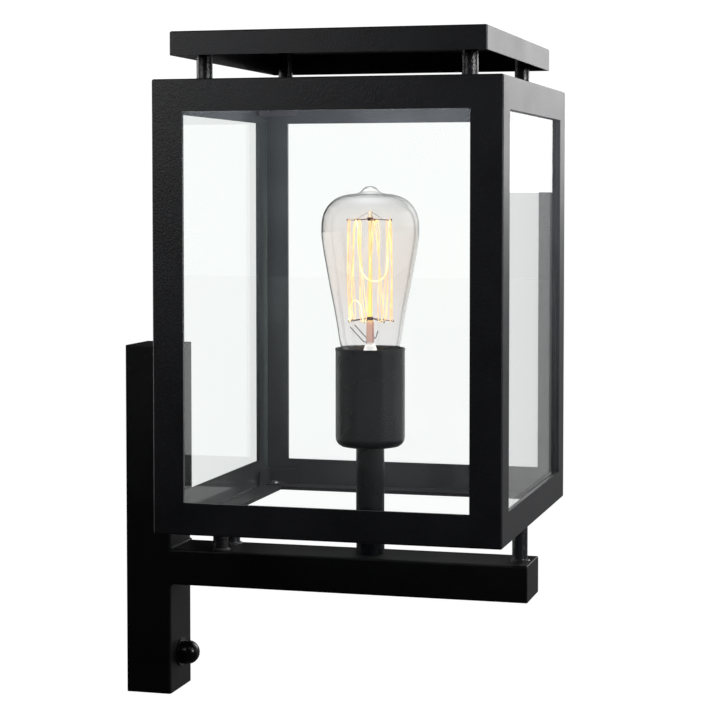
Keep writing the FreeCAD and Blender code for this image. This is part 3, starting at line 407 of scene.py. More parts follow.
# ---- Terminal block and leads ----
# A moulded white three-pole block with sunk clamp screws. Each core has a PVC sleeve: brown live, blue
# neutral, green earth, and three thin red ones up from the sensor's board.

WHITE_PLASTIC = finish("white_moulding", (0.70, 0.70, 0.67), (0.84, 0.84, 0.82), (0.38, 0.52), grain=0.5,
                       depth=0.01, patch=12.0)
coat(WHITE_PLASTIC, "terminal_block")
coat(ZINC, "terminal_screws")
for name, shade, node in (("brown", (0.13, 0.055, 0.025), "lead_live"),
                          ("blue", (0.03, 0.10, 0.42), "lead_neutral"),
                          ("green", (0.10, 0.30, 0.05), "lead_earth"),
                          ("red", (0.42, 0.03, 0.025), "sensor_wires")):
    dark = [c * 0.8 for c in shade]
    light = [min(1, c * 1.25 + 0.01) for c in shade]
    sleeve = finish(name + "_pvc_sleeve", dark, light, (0.40, 0.55), grain=0.4, depth=0.01, patch=9.0)
    coat(sleeve, node)


# ---- Movement sensor ----
# A glossy black dome screwed through the column with a ring nut behind it, a small board on which the nickel
# can of the detector and a relay sit, and a thin black collar around the dome.

GLOSS_BLACK = finish("polished_black_plastic", (0.003, 0.003, 0.004), (0.008, 0.008, 0.010), (0.16, 0.26),
                     grain=2.5, depth=0.004, patch=14.0)
MATTE_BLACK = finish("moulded_black_plastic", (0.012, 0.012, 0.012), (0.035, 0.035, 0.036), (0.45, 0.60),
                     grain=0.5, depth=0.02, patch=10.0)
BOARD_GREEN = finish("solder_mask_green", (0.010, 0.085, 0.022), (0.03, 0.19, 0.055), (0.22, 0.38), grain=1.2,
                     depth=0.01, patch=5.0)
NICKEL = finish("drawn_nickel", (0.24, 0.22, 0.20), (0.46, 0.43, 0.40), (0.25, 0.42), metallic=1.0, grain=0.3,
                depth=0.005, patch=8.0)

low, high = span("sensor_lens")
sensor_z = (low.z + high.z) / 2
lens_r, tip, back = high.x, -low.y, -high.y
collar_low, collar_high = span("sensor_collar")
seat = -collar_low.y
dome_at = tip - lens_r
spigot_r, inner_r = lens_r - 1.0, lens_r - 1.9
quarter = [math.radians(90 - 7.5 * step) for step in range(13)]
outline = [(lens_r * math.cos(a), dome_at + lens_r * math.sin(a)) for a in quarter]
outline += [(lens_r, seat + 0.2), (lens_r - 0.2, seat), (spigot_r, seat), (spigot_r, back + 0.3),
            (spigot_r - 0.3, back), (inner_r, back)]
outline += [(inner_r * math.cos(a), dome_at + inner_r * math.sin(a)) for a in reversed(quarter)]
outline[0], outline[-1] = (0, tip), (0, dome_at + inner_r)
bm = bmesh.new()
turned(bm, outline, 0, sensor_z)
face_outwards(bm)
lay("sensor_dome", bm, GLOSS_BLACK, "sensor_lens", crease=45)

collar_r, face_at = collar_high.x, -collar_high.y
bm = bmesh.new()
turned(bm, [(spigot_r + 0.05, face_at), (collar_r, face_at), (collar_r, seat - 0.45),
            (collar_r - 0.12, seat - 0.15), (collar_r - 0.45, seat), (spigot_r + 0.05, seat)], 0, sensor_z,
       closed=True)
face_outwards(bm)
lay("sensor_collar_ring", bm, GLOSS_BLACK, "sensor_collar")

low, high = span("sensor_nut")
flats = high.z - low.z
bm = bmesh.new()
nut_out, nut_in, corner_r = -low.y, -high.y, flats / math.sqrt(3)
turned(bm, [(spigot_r + 0.05, nut_in + 0.4), (spigot_r + 0.5, nut_in), (flats / 2, nut_in),
            (corner_r, nut_in + 0.7), (corner_r, nut_out - 0.1), (corner_r - 0.1, nut_out),
            (spigot_r + 0.05, nut_out)], 0, sensor_z, closed=True, steps=48)
hexagonal(bm, 0, sensor_z, flats, spigot_r + 1)
face_outwards(bm)
lay("sensor_ring_nut", bm, MATTE_BLACK, "sensor_nut")

low, high = span("sensor_can")
can_r, flange_r = 4.1, high.x
seat, top = -high.y, -low.y
bm = bmesh.new()
turned(bm, [(0, seat), (flange_r, seat), (flange_r, seat + 0.4), (flange_r - 0.1, seat + 0.5),
            (can_r + 0.15, seat + 0.5), (can_r, seat + 0.7), (can_r, top - 0.5), (can_r - 0.15, top - 0.15),
            (can_r - 0.5, top), (2.4, top), (2.3, top - 0.15), (0, top - 0.15)], 0, sensor_z, steps=48)
face_outwards(bm)
lay("detector_can", bm, NICKEL, "sensor_can")
coat(BOARD_GREEN, "sensor_board")

low, high = span("sensor_relay")
bm = bmesh.new()
block(bm, low, high)
round_edges(bm, bm.edges[:], 0.5, 3)
lay("relay_case", bm, MATTE_BLACK, "sensor_relay")


# ---- Arm ----
# A box tube butted to the column with a fillet weld all round, closed at its far end by a welded plate with
# ground edges. Three short turned pins on it carry the lantern.

ARM_ROUND = 1.6
ARM_SHEET = 2.0
ARM_END_ROUND = 0.7

low, high = span("arm_tube")
bm = bmesh.new()
block(bm, low, high)
bmesh.ops.delete(bm, geom=[f for f in bm.faces if abs(f.normal.y) > 0.5], context="FACES")
round_edges(bm, [e for e in bm.edges if abs(e.verts[0].co.y - e.verts[1].co.y) > 1], ARM_ROUND, 5)
bmesh.ops.solidify(bm, geom=bm.faces[:], thickness=ARM_SHEET)
lay("arm_box_tube", bm, SHADED_ARM_COAT, "arm_tube")


def wire(bm, points, radius, swell=None, rounded=True, closed=False):
    """Adds a round wire through the points. swell is its relative thickness at each of them."""
    curve = bpy.data.curves.new("wire", "CURVE")
    curve.dimensions = "3D"
    curve.bevel_depth = radius
    curve.bevel_resolution = 2
    curve.use_fill_caps = not closed
    curve.resolution_u = 5 if rounded else 1
    spline = curve.splines.new("BEZIER")
    spline.use_cyclic_u = closed
    spline.bezier_points.add(len(points) - 1)
    for index, knot in enumerate(spline.bezier_points):
        knot.co = points[index]
        knot.handle_left_type = knot.handle_right_type = "AUTO" if rounded else "VECTOR"
        knot.radius = swell[index] if swell else 1.0
    holder = bpy.data.objects.new("wire", curve)
    mesh = bpy.data.meshes.new_from_object(holder)
    bm.from_mesh(mesh)
    bpy.data.meshes.remove(mesh)
    bpy.data.objects.remove(holder)


low, high = span("arm_tube")
seam = span("column_shell")[0].y
BEAD_R = 1.2
RIPPLE = 2.4
side_x, top_z, low_z = high.x - BEAD_R - 0.05, high.z + 0.25, low.z - 0.25
corners = [Vector(c) for c in ((-side_x, seam, low_z), (side_x, seam, low_z), (side_x, seam, top_z),
                               (-side_x, seam, top_z))]
path, thickness = [], []
for start, end in zip(corners, corners[1:] + corners[:1]):
    count = round((end - start).length / (RIPPLE / 4))
    for step in range(count):
        path.append(start.lerp(end, step / count))
        thickness.append(1 + 0.07 * math.cos(math.pi / 2 * step))
bm = bmesh.new()
wire(bm, path, BEAD_R, swell=thickness, rounded=False, closed=True)
lay("arm_weld_bead", bm, SHADED_ARM_COAT, None)

low, high = span("arm_end_cap")
bm = bmesh.new()
block(bm, low, high)
round_edges(bm, [e for e in bm.edges if abs(e.verts[0].co.y - e.verts[1].co.y) > 1], ARM_ROUND, 5)
face_rim = [e for e in bm.edges if all(abs(v.co.y - low.y) < 0.01 for v in e.verts)]
round_edges(bm, face_rim, ARM_END_ROUND, 3)
lay("arm_end_plate", bm, SHADED_ARM_COAT, "arm_end_cap")

PIN_COAT = finish("pin_powder_coat", (0.003, 0.003, 0.004), (0.022, 0.023, 0.027), (0.24, 0.32),
                  grain=1.7, depth=0.40, gloss=0.8)

low, high = span("lantern_pins")
pin_r = 5.0
foot_r = 6.6
bm = bmesh.new()
for x, y in ((low.x + foot_r, high.y - foot_r), (high.x - foot_r, high.y - foot_r), (0, low.y + foot_r)):
    outline = [(0, low.z), (foot_r, low.z), (foot_r, low.z + 0.35), (foot_r - 0.5, low.z + 0.95),
               (pin_r + 0.35, low.z + 1.15), (pin_r, low.z + 1.7), (pin_r, high.z - 0.5),
               (pin_r - 0.45, high.z), (0, high.z)]
    turned(bm, outline, x, y)
lay("lantern_carrying_pins", bm, PIN_COAT, "lantern_pins")


# ---- Lantern frame ----
# Twelve lengths of 20 mm steel angle, mitred along the rails, welded and ground flush, so no seam shows under
# the coat. The outer edges keep the angle's small round.

BLACK_COAT = finish("black_powder_coat", (0.006, 0.0063, 0.0075), (0.023, 0.024, 0.029), (0.36, 0.48),
                    grain=1.3, depth=0.18)

ANGLE_LEG = 20.0
ANGLE_THICK = 2.5
ANGLE_ROUND = 1.3

low = span("bottom_rail_left")[0]
high = span("top_rail_right")[1]
low = Vector((low.x, span("bottom_rail_outer")[0].y, low.z))
high = Vector((high.x, span("bottom_rail_wall")[1].y, high.z))
middle = (low + high) / 2
whole = bmesh.new()
block(whole, low, high)
bmesh.ops.inset_individual(whole, faces=whole.faces[:], thickness=ANGLE_LEG, use_even_offset=True)
windows = sorted(whole.faces, key=lambda f: -f.calc_area())[:6]
bmesh.ops.delete(whole, geom=windows, context="FACES")
bmesh.ops.recalc_face_normals(whole, faces=whole.faces[:])
bmesh.ops.solidify(whole, geom=whole.faces[:], thickness=ANGLE_THICK)


def on_outer_edge(edge):
    """True for the box's twelve outer edges."""
    return all(sum(min(abs(v.co[i] - low[i]), abs(v.co[i] - high[i])) < 0.01 for i in range(3)) >= 2
               for v in edge.verts)


outer_edges = [e for e in whole.edges if on_outer_edge(e)]
round_edges(whole, outer_edges, ANGLE_ROUND, 4)

CUT = 0.005


def cut_off(bm, point, removed_side):
    """Cuts with a plane through the point, removes the side the direction points at, and caps the cut."""
    result = bmesh.ops.bisect_plane(bm, geom=bm.verts[:] + bm.edges[:] + bm.faces[:], dist=1e-5,
                                    plane_co=point, plane_no=removed_side, clear_outer=True)
    rim = [g for g in result["geom_cut"] if isinstance(g, bmesh.types.BMEdge)]
    bmesh.ops.holes_fill(bm, edges=rim, sides=0)


for level, z_cut, drop in (("bottom", low.z + ANGLE_LEG + CUT, 1), ("top", high.z - ANGLE_LEG - CUT, -1)):
    for side, first, second in (("left", (1, 1), (1, -1)), ("right", (-1, -1), (-1, 1)),
                                ("outer", (1, 1), (-1, 1)), ("wall", (1, -1), (-1, -1))):
        bm = whole.copy()
        cut_off(bm, (0, 0, z_cut), (0, 0, drop))
        for nx, ny in (first, second):
            cut_off(bm, middle, (nx, ny, 0))
        lay(level + "_rail_angle_" + side, bm, BLACK_COAT, level + "_rail_" + side)

for corner, away_x, away_y in (("outer_left", 1, 1), ("outer_right", -1, 1), ("wall_left", 1, -1),
                               ("wall_right", -1, -1)):
    bm = whole.copy()
    cut_off(bm, (0, 0, low.z + ANGLE_LEG + CUT), (0, 0, -1))
    cut_off(bm, (0, 0, high.z - ANGLE_LEG - CUT), (0, 0, 1))
    cut_off(bm, middle, (away_x, 0, 0))
    cut_off(bm, middle, (0, away_y, 0))
    lay("post_angle_" + corner, bm, BLACK_COAT, "post_" + corner)
whole.free()


# ---- Pane clips ----
# Eight corner clips folded from thin sheet hold the panes against the angles. Each has a foot, and a small
# socket screw goes through it into the ledge.

CLIP_TAB = 22.0
CLIP_HIGH = 11.0
CLIP_SHEET = 1.2
CLIP_FOOT = 12.0
CLIP_BEND = 1.4

low, high = span("corner_clips")
reach = high.x
clips_y = (low.y + high.y) / 2
bm = bmesh.new()
for sx in (-1, 1):
    for sy in (-1, 1):
        for start_z, up in ((low.z, 1), (high.z, -1)):
            older = set(bm.verts)
            near = (reach - CLIP_TAB, reach - CLIP_TAB, 0)
            cube = block(bm, near, (reach, reach, CLIP_HIGH))
            faces = list({face for vert in cube for face in vert.link_faces})
            bmesh.ops.delete(bm, geom=[f for f in faces if f.normal.x + f.normal.y < 0.5], context="FACES")
            tabs = [f for f in bm.faces if f.verts[0] not in older]
            fold = [e for e in bm.edges if len(e.link_faces) == 2 and e.link_faces[0] in tabs]
            round_edges(bm, fold, CLIP_BEND, 4)
            tabs = [f for f in bm.faces if f.verts[0] not in older]
            bmesh.ops.solidify(bm, geom=tabs, thickness=CLIP_SHEET)
            foot_low, foot_high = reach - CLIP_SHEET - CLIP_FOOT, reach - CLIP_SHEET
            foot = block(bm, (foot_low, foot_low, 0), (foot_high, foot_high, CLIP_SHEET))
            round_edges(bm, list({e for v in foot for e in v.link_edges}), 0.25, 2)
            for vert in bm.verts:
                if vert not in older:
                    vert.co = (sx * vert.co.x, clips_y + sy * vert.co.y, start_z + up * vert.co.z)
lay("pane_corner_clips", bm, BLACK_COAT, "corner_clips")

low, high = span("clip_screws")
SCREW_HEAD_R = 2.8
SCREW_R = 1.5
HEAD_AT = 3.7
DRIVE_FLATS = 2.0
drive_r = DRIVE_FLATS / math.sqrt(3)
bm = bmesh.new()
for x in (low.x + SCREW_HEAD_R, high.x - SCREW_HEAD_R):
    for y in (low.y + SCREW_HEAD_R, high.y - SCREW_HEAD_R):
        for end, up in ((low.z, 1), (high.z, -1)):
            outline = [(0, 0), (SCREW_R - 0.3, 0), (SCREW_R, 0.3), (SCREW_R, HEAD_AT),
                       (SCREW_HEAD_R - 0.2, HEAD_AT), (SCREW_HEAD_R, HEAD_AT + 0.25),
                       (SCREW_HEAD_R - 0.2, HEAD_AT + 0.9), (SCREW_HEAD_R - 0.9, HEAD_AT + 1.45),
                       (drive_r + 0.2, HEAD_AT + 1.6), (drive_r, HEAD_AT + 1.45), (drive_r, HEAD_AT + 0.7),
                       (0, HEAD_AT + 0.7)]
            turned(bm, [(r, end + up * z) for r, z in outline], x, y, steps=36)
        hexagonal(bm, x, y, DRIVE_FLATS, 0.5, drive_r + 0.1)
lay("clip_socket_screws", bm, ZINC, "clip_screws")


# ---- Roof ----
# A shallow tray folded from sheet and open below, on four turned pins whose studs pass through the top plate
# to nuts inside.

ROOF_SHEET = 1.5
ROOF_FOLD = 1.3
STUD_R = 3.0
NUT_FLATS = 10.0

low, high = span("roof_tray")
bm = bmesh.new()
block(bm, low, high)
bmesh.ops.delete(bm, geom=[f for f in bm.faces if f.normal.z < -0.5], context="FACES")
folds = [e for e in bm.edges if len(e.link_faces) == 2]
round_edges(bm, folds, ROOF_FOLD, 4)
bmesh.ops.solidify(bm, geom=bm.faces[:], thickness=ROOF_SHEET)
lay("roof_folded_tray", bm, BLACK_COAT, "roof_tray")

low, high = span("roof_pins")
seat = span("top_plate")[1].z
bm = bmesh.new()
for x in (low.x + pin_r, high.x - pin_r):
    for y in (low.y + pin_r, high.y - pin_r):
        outline = [(0, low.z), (STUD_R - 0.4, low.z), (STUD_R, low.z + 0.5), (STUD_R, seat),
                   (pin_r - 0.4, seat), (pin_r, seat + 0.4), (pin_r, high.z - 0.4), (pin_r - 0.4, high.z),
                   (0, high.z)]
        turned(bm, outline, x, y)
lay("roof_standing_pins", bm, PIN_COAT, "roof_pins")

low, high = span("top_plate")
bm = bmesh.new()
block(bm, low, high)
round_edges(bm, bm.edges[:], 0.3, 2)
lay("top_closing_plate", bm, BLACK_COAT, "top_plate")


def hex_nut(bm, x, y, flats, bore, low_z, high_z):
    """A hexagon nut with chamfered corners and a countersunk bore."""
    corner_r = flats / math.sqrt(3)
    chamfer = (corner_r - flats / 2) * 0.75
    outline = [(bore, low_z + 0.4), (bore + 0.4, low_z), (flats / 2, low_z), (corner_r, low_z + chamfer),
               (corner_r, high_z - chamfer), (flats / 2, high_z), (bore + 0.4, high_z), (bore, high_z - 0.4)]
    turned(bm, outline, x, y, closed=True, steps=48)
    hexagonal(bm, x, y, flats, bore + 0.6, corner_r + 0.1)


low, high = span("roof_pin_nuts")
pins_low, pins_high = span("roof_pins")
bm = bmesh.new()
for x in (pins_low.x + pin_r, pins_high.x - pin_r):
    for y in (pins_low.y + pin_r, pins_high.y - pin_r):
        hex_nut(bm, x, y, NUT_FLATS, STUD_R + 0.05, low.z, high.z)
lay("roof_stud_nuts", bm, ZINC, "roof_pin_nuts")


# ---- Glazing ----
# Four panes of 3 mm clear float glass with seamed edges, whose cut edges show green. They stand on the bottom
# rails inside the angles.

def glass(name, tint, roughness, ior=1.5, bands=()):
    """Clear glass that lets the lights through. Its shadow is only its tint. bands are (height, colour, glow)
    points, in millimetres, for glass whose colour changes upwards; their glow, and the warm tints near the
    filament, are painted light from the filament."""
    material, tree, shader, texture = grained(name, 5.0, 70.0)
    nodes, links = tree.nodes, tree.links
    shader.inputs["Transmission Weight"].default_value = 1.0
    shader.inputs["IOR"].default_value = ior
    if bands:
        place = nodes.new("ShaderNodeTexCoord")
        split = nodes.new("ShaderNodeSeparateXYZ")
        links.new(place.outputs["Object"], split.inputs["Vector"])
        height = ranged(tree, split.outputs["Z"], (bands[0][0] / 1000, bands[-1][0] / 1000))
        # Painted glow: the emission colour stands for the filament's light held in the glass.
        for entry, socket in ((1, "Base Color"), (2, "Emission Color")):
            ramp = nodes.new("ShaderNodeValToRGB")
            stops = ramp.color_ramp.elements
            while len(stops) < len(bands):
                stops.new(0.5)
            for stop, band in zip(stops, bands):
                stop.position = (band[0] - bands[0][0]) / (bands[-1][0] - bands[0][0])
                stop.color = (*band[entry], 1)
            links.new(height, ramp.inputs["Fac"])
            links.new(ramp.outputs["Color"], shader.inputs[socket])
        shader.inputs["Emission Strength"].default_value = 1.0
    else:
        deeper = [c ** 1.5 for c in tint]
        colour = blended(tree, "RGBA", texture["Patches"], (*tint, 1), (*deeper, 1))
        links.new(colour, shader.inputs["Base Color"])
    links.new(ranged(tree, texture["Patches"], wanted=roughness), shader.inputs["Roughness"])
    path = nodes.new("ShaderNodeLightPath")
    clear = nodes.new("ShaderNodeBsdfTransparent")
    clear.inputs["Color"].default_value = (*[c ** 2 for c in tint], 1)
    mix = nodes.new("ShaderNodeMixShader")
    links.new(path.outputs["Is Shadow Ray"], mix.inputs["Fac"])
    links.new(shader.outputs["BSDF"], mix.inputs[1])
    links.new(clear.outputs["BSDF"], mix.inputs[2])
    links.new(mix.outputs["Shader"], nodes["Material Output"].inputs["Surface"])
    return material


PANE_GLASS = glass("float_glass", (0.972, 0.984, 0.978), (0.0, 0.015), ior=1.2)
EDGE_GLASS = glass("float_glass_edge", (0.78, 0.93, 0.89), (0.12, 0.25))
PANE_SEAM = 0.35

for side in ("left", "right", "outer", "wall"):
    low, high = span("pane_" + side)
    bm = bmesh.new()
    block(bm, low, high)
    thin = 0 if high.x - low.x < high.y - low.y else 1
    cut_edges = [f for f in bm.faces if abs(f.normal[thin]) < 0.5]
    for face in cut_edges:
        face.material_index = 1
    round_edges(bm, [e for e in bm.edges if e.calc_face_angle(0) > 1], PANE_SEAM, 1)
    pane = lay("glass_pane_" + side, bm, PANE_GLASS, "pane_" + side)
    pane.data.materials.append(EDGE_GLASS)


# ---- Stem and cup ----
# A steel tube stands on the arm and carries a deep drawn cup with a thin rolled rim. Both are powder coated.

CUP_COAT = finish("cup_powder_coat", (0.001, 0.001, 0.002), (0.010, 0.011, 0.014), (0.24, 0.32),
                  grain=1.7, depth=0.34, gloss=0.38)

axis = (span("stem_tube")[0] + span("stem_tube")[1]) / 2
low, high = span("stem_tube")
stem_r = (high.x - low.x) / 2
STEM_WALL = 1.5
stem_bore = stem_r - STEM_WALL
bm = bmesh.new()
turned(bm, [(stem_bore, low.z), (stem_r, low.z), (stem_r, high.z), (stem_bore, high.z)], axis.x, axis.y,
       closed=True)
lay("stem", bm, CUP_COAT, "stem_tube")

low, high = span("lamp_cup")
rim_r = (high.x - low.x) / 2
cup_r = rim_r - 0.25
wall = 1.5
outline = [(5.1, low.z), (cup_r - 6, low.z), (cup_r - 3.7, low.z + 0.46), (cup_r - 1.76, low.z + 1.76),
           (cup_r - 0.46, low.z + 3.7), (cup_r, low.z + 6), (cup_r, high.z - 1.9), (rim_r, high.z - 1.4),
           (rim_r, high.z - 0.5), (rim_r - 0.35, high.z), (rim_r - 1.1, high.z), (cup_r - wall, high.z - 0.6),
           (cup_r - wall, low.z + 6), (cup_r - 2.7, low.z + 3.2), (cup_r - 6, low.z + wall),
           (5.1, low.z + wall)]
bm = bmesh.new()
turned(bm, outline, axis.x, axis.y, closed=True, steps=72)
lay("lampholder_cup", bm, CUP_COAT, "lamp_cup", crease=50)


# ---- Threaded tube and its nuts ----
# A zinc plated M10 tube runs up inside the stem. One nut under the arm's top wall and one in the cup pull the
# cup, the stem and the arm together, and the wires go up through it.

def wound(bm, x, y, pitch, depth, low_z, high_z, least):
    """Raises a helical thread on the wall outside a radius, fading at both ends."""
    for vert in bm.verts:
        away = Vector((vert.co.x - x, vert.co.y - y))
        if low_z < vert.co.z < high_z and away.length > least:
            fade = min(1.0, (vert.co.z - low_z) / pitch * 2, (high_z - vert.co.z) / pitch * 2)
            turn = math.atan2(away.y, away.x) / (2 * math.pi)
            wave = 0.5 - 0.5 * math.cos(2 * math.pi * (vert.co.z / pitch - turn))
            away *= 1 + depth * wave * fade / away.length
            vert.co.x, vert.co.y = x + away.x, y + away.y


def rows(radius, low_z, high_z, spacing):
    """Points up a straight wall, close enough together to take a thread."""
    count = max(1, round((high_z - low_z) / spacing))
    return [(radius, low_z + (high_z - low_z) * step / count) for step in range(count + 1)]


low, high = span("threaded_tube")
tube_r = (high.x - low.x) / 2
bore = tube_r - 1.4
root_r = tube_r - 0.5
outline = [(bore, low.z)] + rows(root_r, low.z, low.z + 8, 0.25) + rows(root_r, high.z - 7, high.z, 0.25)
outline += [(bore, high.z)]
bm = bmesh.new()
turned(bm, outline, axis.x, axis.y, closed=True, steps=36)
wound(bm, axis.x, axis.y, 1.0, 0.5, low.z + 0.1, high.z - 0.1, bore + 0.3)
lay("m10_tube", bm, ZINC, "threaded_tube", crease=60)

low, high = span("tube_nuts")
NUT_THICK = 3.0
M10_FLATS = 14.0
bm = bmesh.new()
for nut_low in (low.z, high.z - NUT_THICK):
    hex_nut(bm, axis.x, axis.y, M10_FLATS, tube_r + 0.05, nut_low, nut_low + NUT_THICK)
lay("m10_nuts", bm, ZINC, "tube_nuts")


# ---- Lampholder ----
# A glazed ceramic body in the cup, a rolled brass screw shell standing in its bore, and a sprung brass tongue
# on a rivet at the bottom of it.

CERAMIC = finish("glazed_ceramic", (0.66, 0.64, 0.59), (0.80, 0.79, 0.75), (0.12, 0.28), grain=2.0,
                 depth=0.01, patch=14.0)
BRASS = finish("rolled_brass", (0.50, 0.33, 0.11), (0.80, 0.60, 0.27), (0.20, 0.40), metallic=1.0, grain=0.5,
               depth=0.008, patch=7.0)

low, high = span("holder_body")
body_r = (high.x - low.x) / 2
bore_r, recess_r = body_r - 4.1, body_r - 7
floor_low, floor_high = low.z + 9, low.z + 14
outline = [(0, floor_low), (recess_r, floor_low), (recess_r, low.z + 0.5), (recess_r + 0.5, low.z),
           (body_r - 0.8, low.z), (body_r, low.z + 0.8), (body_r, low.z + 10), (body_r - 0.6, low.z + 10.6),
           (body_r - 0.6, high.z - 8.6), (body_r, high.z - 8), (body_r, high.z - 1.2),
           (body_r - 0.35, high.z - 0.35), (body_r - 1.2, high.z), (bore_r + 0.8, high.z),
           (bore_r, high.z - 0.8), (bore_r, floor_high + 0.5), (bore_r - 0.5, floor_high), (0, floor_high)]
bm = bmesh.new()
turned(bm, outline, axis.x, axis.y)
lay("ceramic_holder", bm, CERAMIC, "holder_body")

THREAD_PITCH = 3.629
low, high = span("screw_shell")
shell_r = (high.x - low.x) / 2 - 0.4 - 0.5
floor_z = floor_high + 2.0
thread_low, thread_high = floor_z + 2.2, high.z - 1.4
spacing = THREAD_PITCH / 8
outline = [(6.0, floor_z), (shell_r - 0.9, floor_z), (shell_r + 0.1, floor_z + 0.3),
           (shell_r + 0.4, floor_z + 1.2)]
outline += rows(shell_r + 0.4, thread_low, thread_high, spacing)
outline += [(shell_r + 0.4, high.z), (shell_r, high.z)]
outline += rows(shell_r, thread_low, thread_high, spacing)[::-1]
outline += [(shell_r, floor_z + 1.3), (shell_r - 0.5, floor_z + 0.7), (6.0, floor_z + 0.6)]
bm = bmesh.new()
turned(bm, outline, axis.x, axis.y, closed=True, steps=64)
wound(bm, axis.x, axis.y, THREAD_PITCH, 0.5, thread_low, thread_high, 10.0)
rivet = [(0, low.z), (1.2, low.z), (1.5, low.z + 0.3), (1.5, floor_z + 0.1), (2.4, floor_z + 0.62),
         (1.6, floor_z + 1.1), (0, floor_z + 1.2)]
turned(bm, rivet, axis.x + 9.0, axis.y, steps=24)
lay("screw_shell_rolled", bm, BRASS, "screw_shell", crease=50)
coat(BRASS, "centre_contact")


# ---- Bulb cap ----
# A thin brass shell with a rolled thread, a black vitreous insulator in its lower end and a soldered contact
# in the middle. It screws into the lampholder.

SOLDER = finish("solder_tin", (0.40, 0.40, 0.41), (0.64, 0.64, 0.65), (0.22, 0.40), metallic=1.0, grain=0.8,
                depth=0.03, patch=4.0)
VITREOUS = finish("black_vitreous_glass", (0.006, 0.006, 0.008), (0.018, 0.018, 0.024), (0.06, 0.16),
                  grain=1.5, depth=0.01, patch=5.0)

low, high = span("bulb_cap_shell")
skirt_r = (high.x - low.x) / 2
root_r = skirt_r - 0.65
eye_r, cap_wall = 8.4, 0.35
thread_low, thread_high = low.z + 2.3, high.z - 4.4
outline = [(eye_r, low.z), (root_r - 2.2, low.z + 0.7), (root_r - 0.6, low.z + 1.5)]
outline += rows(root_r, thread_low, thread_high, spacing)
outline += [(skirt_r - 0.1, high.z - 4.1), (skirt_r, high.z - 3.9), (skirt_r, high.z - 0.1),
            (skirt_r - 0.1, high.z), (skirt_r - cap_wall, high.z), (skirt_r - cap_wall, high.z - 3.9)]
outline += rows(root_r - cap_wall, thread_low, thread_high, spacing)[::-1]
outline += [(root_r - 0.9, low.z + 1.9), (root_r - 2.4, low.z + 1.1), (eye_r, low.z + 0.5)]
bm = bmesh.new()
turned(bm, outline, axis.x, axis.y, closed=True, steps=64)
wound(bm, axis.x, axis.y, THREAD_PITCH, 0.5, thread_low, thread_high, root_r - 0.5)
lay("bulb_screw_cap", bm, BRASS, "bulb_cap_shell", body="bulb", crease=50)

low, high = span("bulb_insulator")
cone_r = (high.x - low.x) / 2
bm = bmesh.new()
turned(bm, [(0, low.z), (4.8, low.z), (5.3, low.z + 0.15), (cone_r - 0.4, high.z - 1.75),
            (cone_r, high.z - 1.2), (cone_r, high.z - 0.3), (cone_r - 0.3, high.z), (0, high.z)],
       axis.x, axis.y)
lay("bulb_end_insulator", bm, VITREOUS, "bulb_insulator", body="bulb_end")

low, high = span("bulb_contact")
tin_r = (high.x - low.x) / 2
bm = bmesh.new()
turned(bm, [(0, low.z), (2.2, low.z + 0.04), (3.5, low.z + 0.25), (4.4, low.z + 0.7), (tin_r, high.z - 0.2),
            (tin_r, high.z), (0, high.z)], axis.x, axis.y, steps=48)
lay("bulb_solder_contact", bm, SOLDER, "bulb_contact", body="bulb_end")


# ---- Bulb envelope ----
# A blown teardrop of thin clear glass, drawn in to its neck and pulled off at the top, where a small cloudy
# nipple is left.

def drawn(points, steps):
    """A smooth line through (radius, height) points, as a list of the same kind."""
    curve = bpy.data.curves.new("drawn", "CURVE")
    curve.dimensions = "3D"
    spline = curve.splines.new("BEZIER")
    spline.bezier_points.add(len(points) - 1)
    for knot, (radius, height) in zip(spline.bezier_points, points):
        knot.co = (radius, 0, height)
        knot.handle_left_type = knot.handle_right_type = "AUTO"
    spline.resolution_u = steps
    holder = bpy.data.objects.new("drawn", curve)
    mesh = bpy.data.meshes.new_from_object(holder)
    line = [(vert.co.x, vert.co.z) for vert in mesh.vertices]
    bpy.data.meshes.remove(mesh)
    bpy.data.objects.remove(holder)
    return line


NONE = (0.0, 0.0, 0.0)
# The envelope's warm peach band around the filament and the faint glow at its tip are painted glow for the
# filament's light in the glass.
BULB_GLASS_PAINTED_GLOW = glass("bulb_glass", (0.98, 0.97, 0.96), (0.0, 0.03), ior=1.45, bands=(
    (100, (0.955, 0.955, 0.955), NONE), (130, (0.95, 0.93, 0.93), NONE), (158, (0.95, 0.90, 0.875), NONE),
    (188, (0.95, 0.91, 0.885), NONE), (212, (0.93, 0.92, 0.92), NONE),
    (223, (0.90, 0.91, 0.91), (0.10, 0.10, 0.10))))

low, high = span("bulb_glass")
bulb_r = (high.x - low.x) / 2
belly_z = 194.5
outline = [(12.6, low.z), (12.6, low.z + 3.9), (14.9, low.z + 7.6), (18.0, low.z + 11.4), (19.7, 118.9),
           (21.7, 130.7), (24.0, 143.9), (26.6, 157.0), (28.9, 170.2), (31.1, 183.4), (bulb_r, belly_z),
           (31.1, 203.1), (29.2, 207.7), (26.3, 211.6), (22.0, 214.9), (15.0, 217.3), (10.0, 217.9),
           (7.4, 218.6), (5.8, 219.8), (4.6, 221.3), (2.6, 222.5)]
skin = [(max(0.0, r), z) for r, z in drawn(outline, 4)]
bm = bmesh.new()
turned(bm, skin + [(0.0, high.z)], axis.x, axis.y, steps=72)
envelope = lay("bulb_envelope", bm, BULB_GLASS_PAINTED_GLOW, "bulb_glass", body="bulb", crease=80)
wall = envelope.modifiers.new("blown wall", "SOLIDIFY")
wall.thickness = 0.0008
wall.offset = -1.0
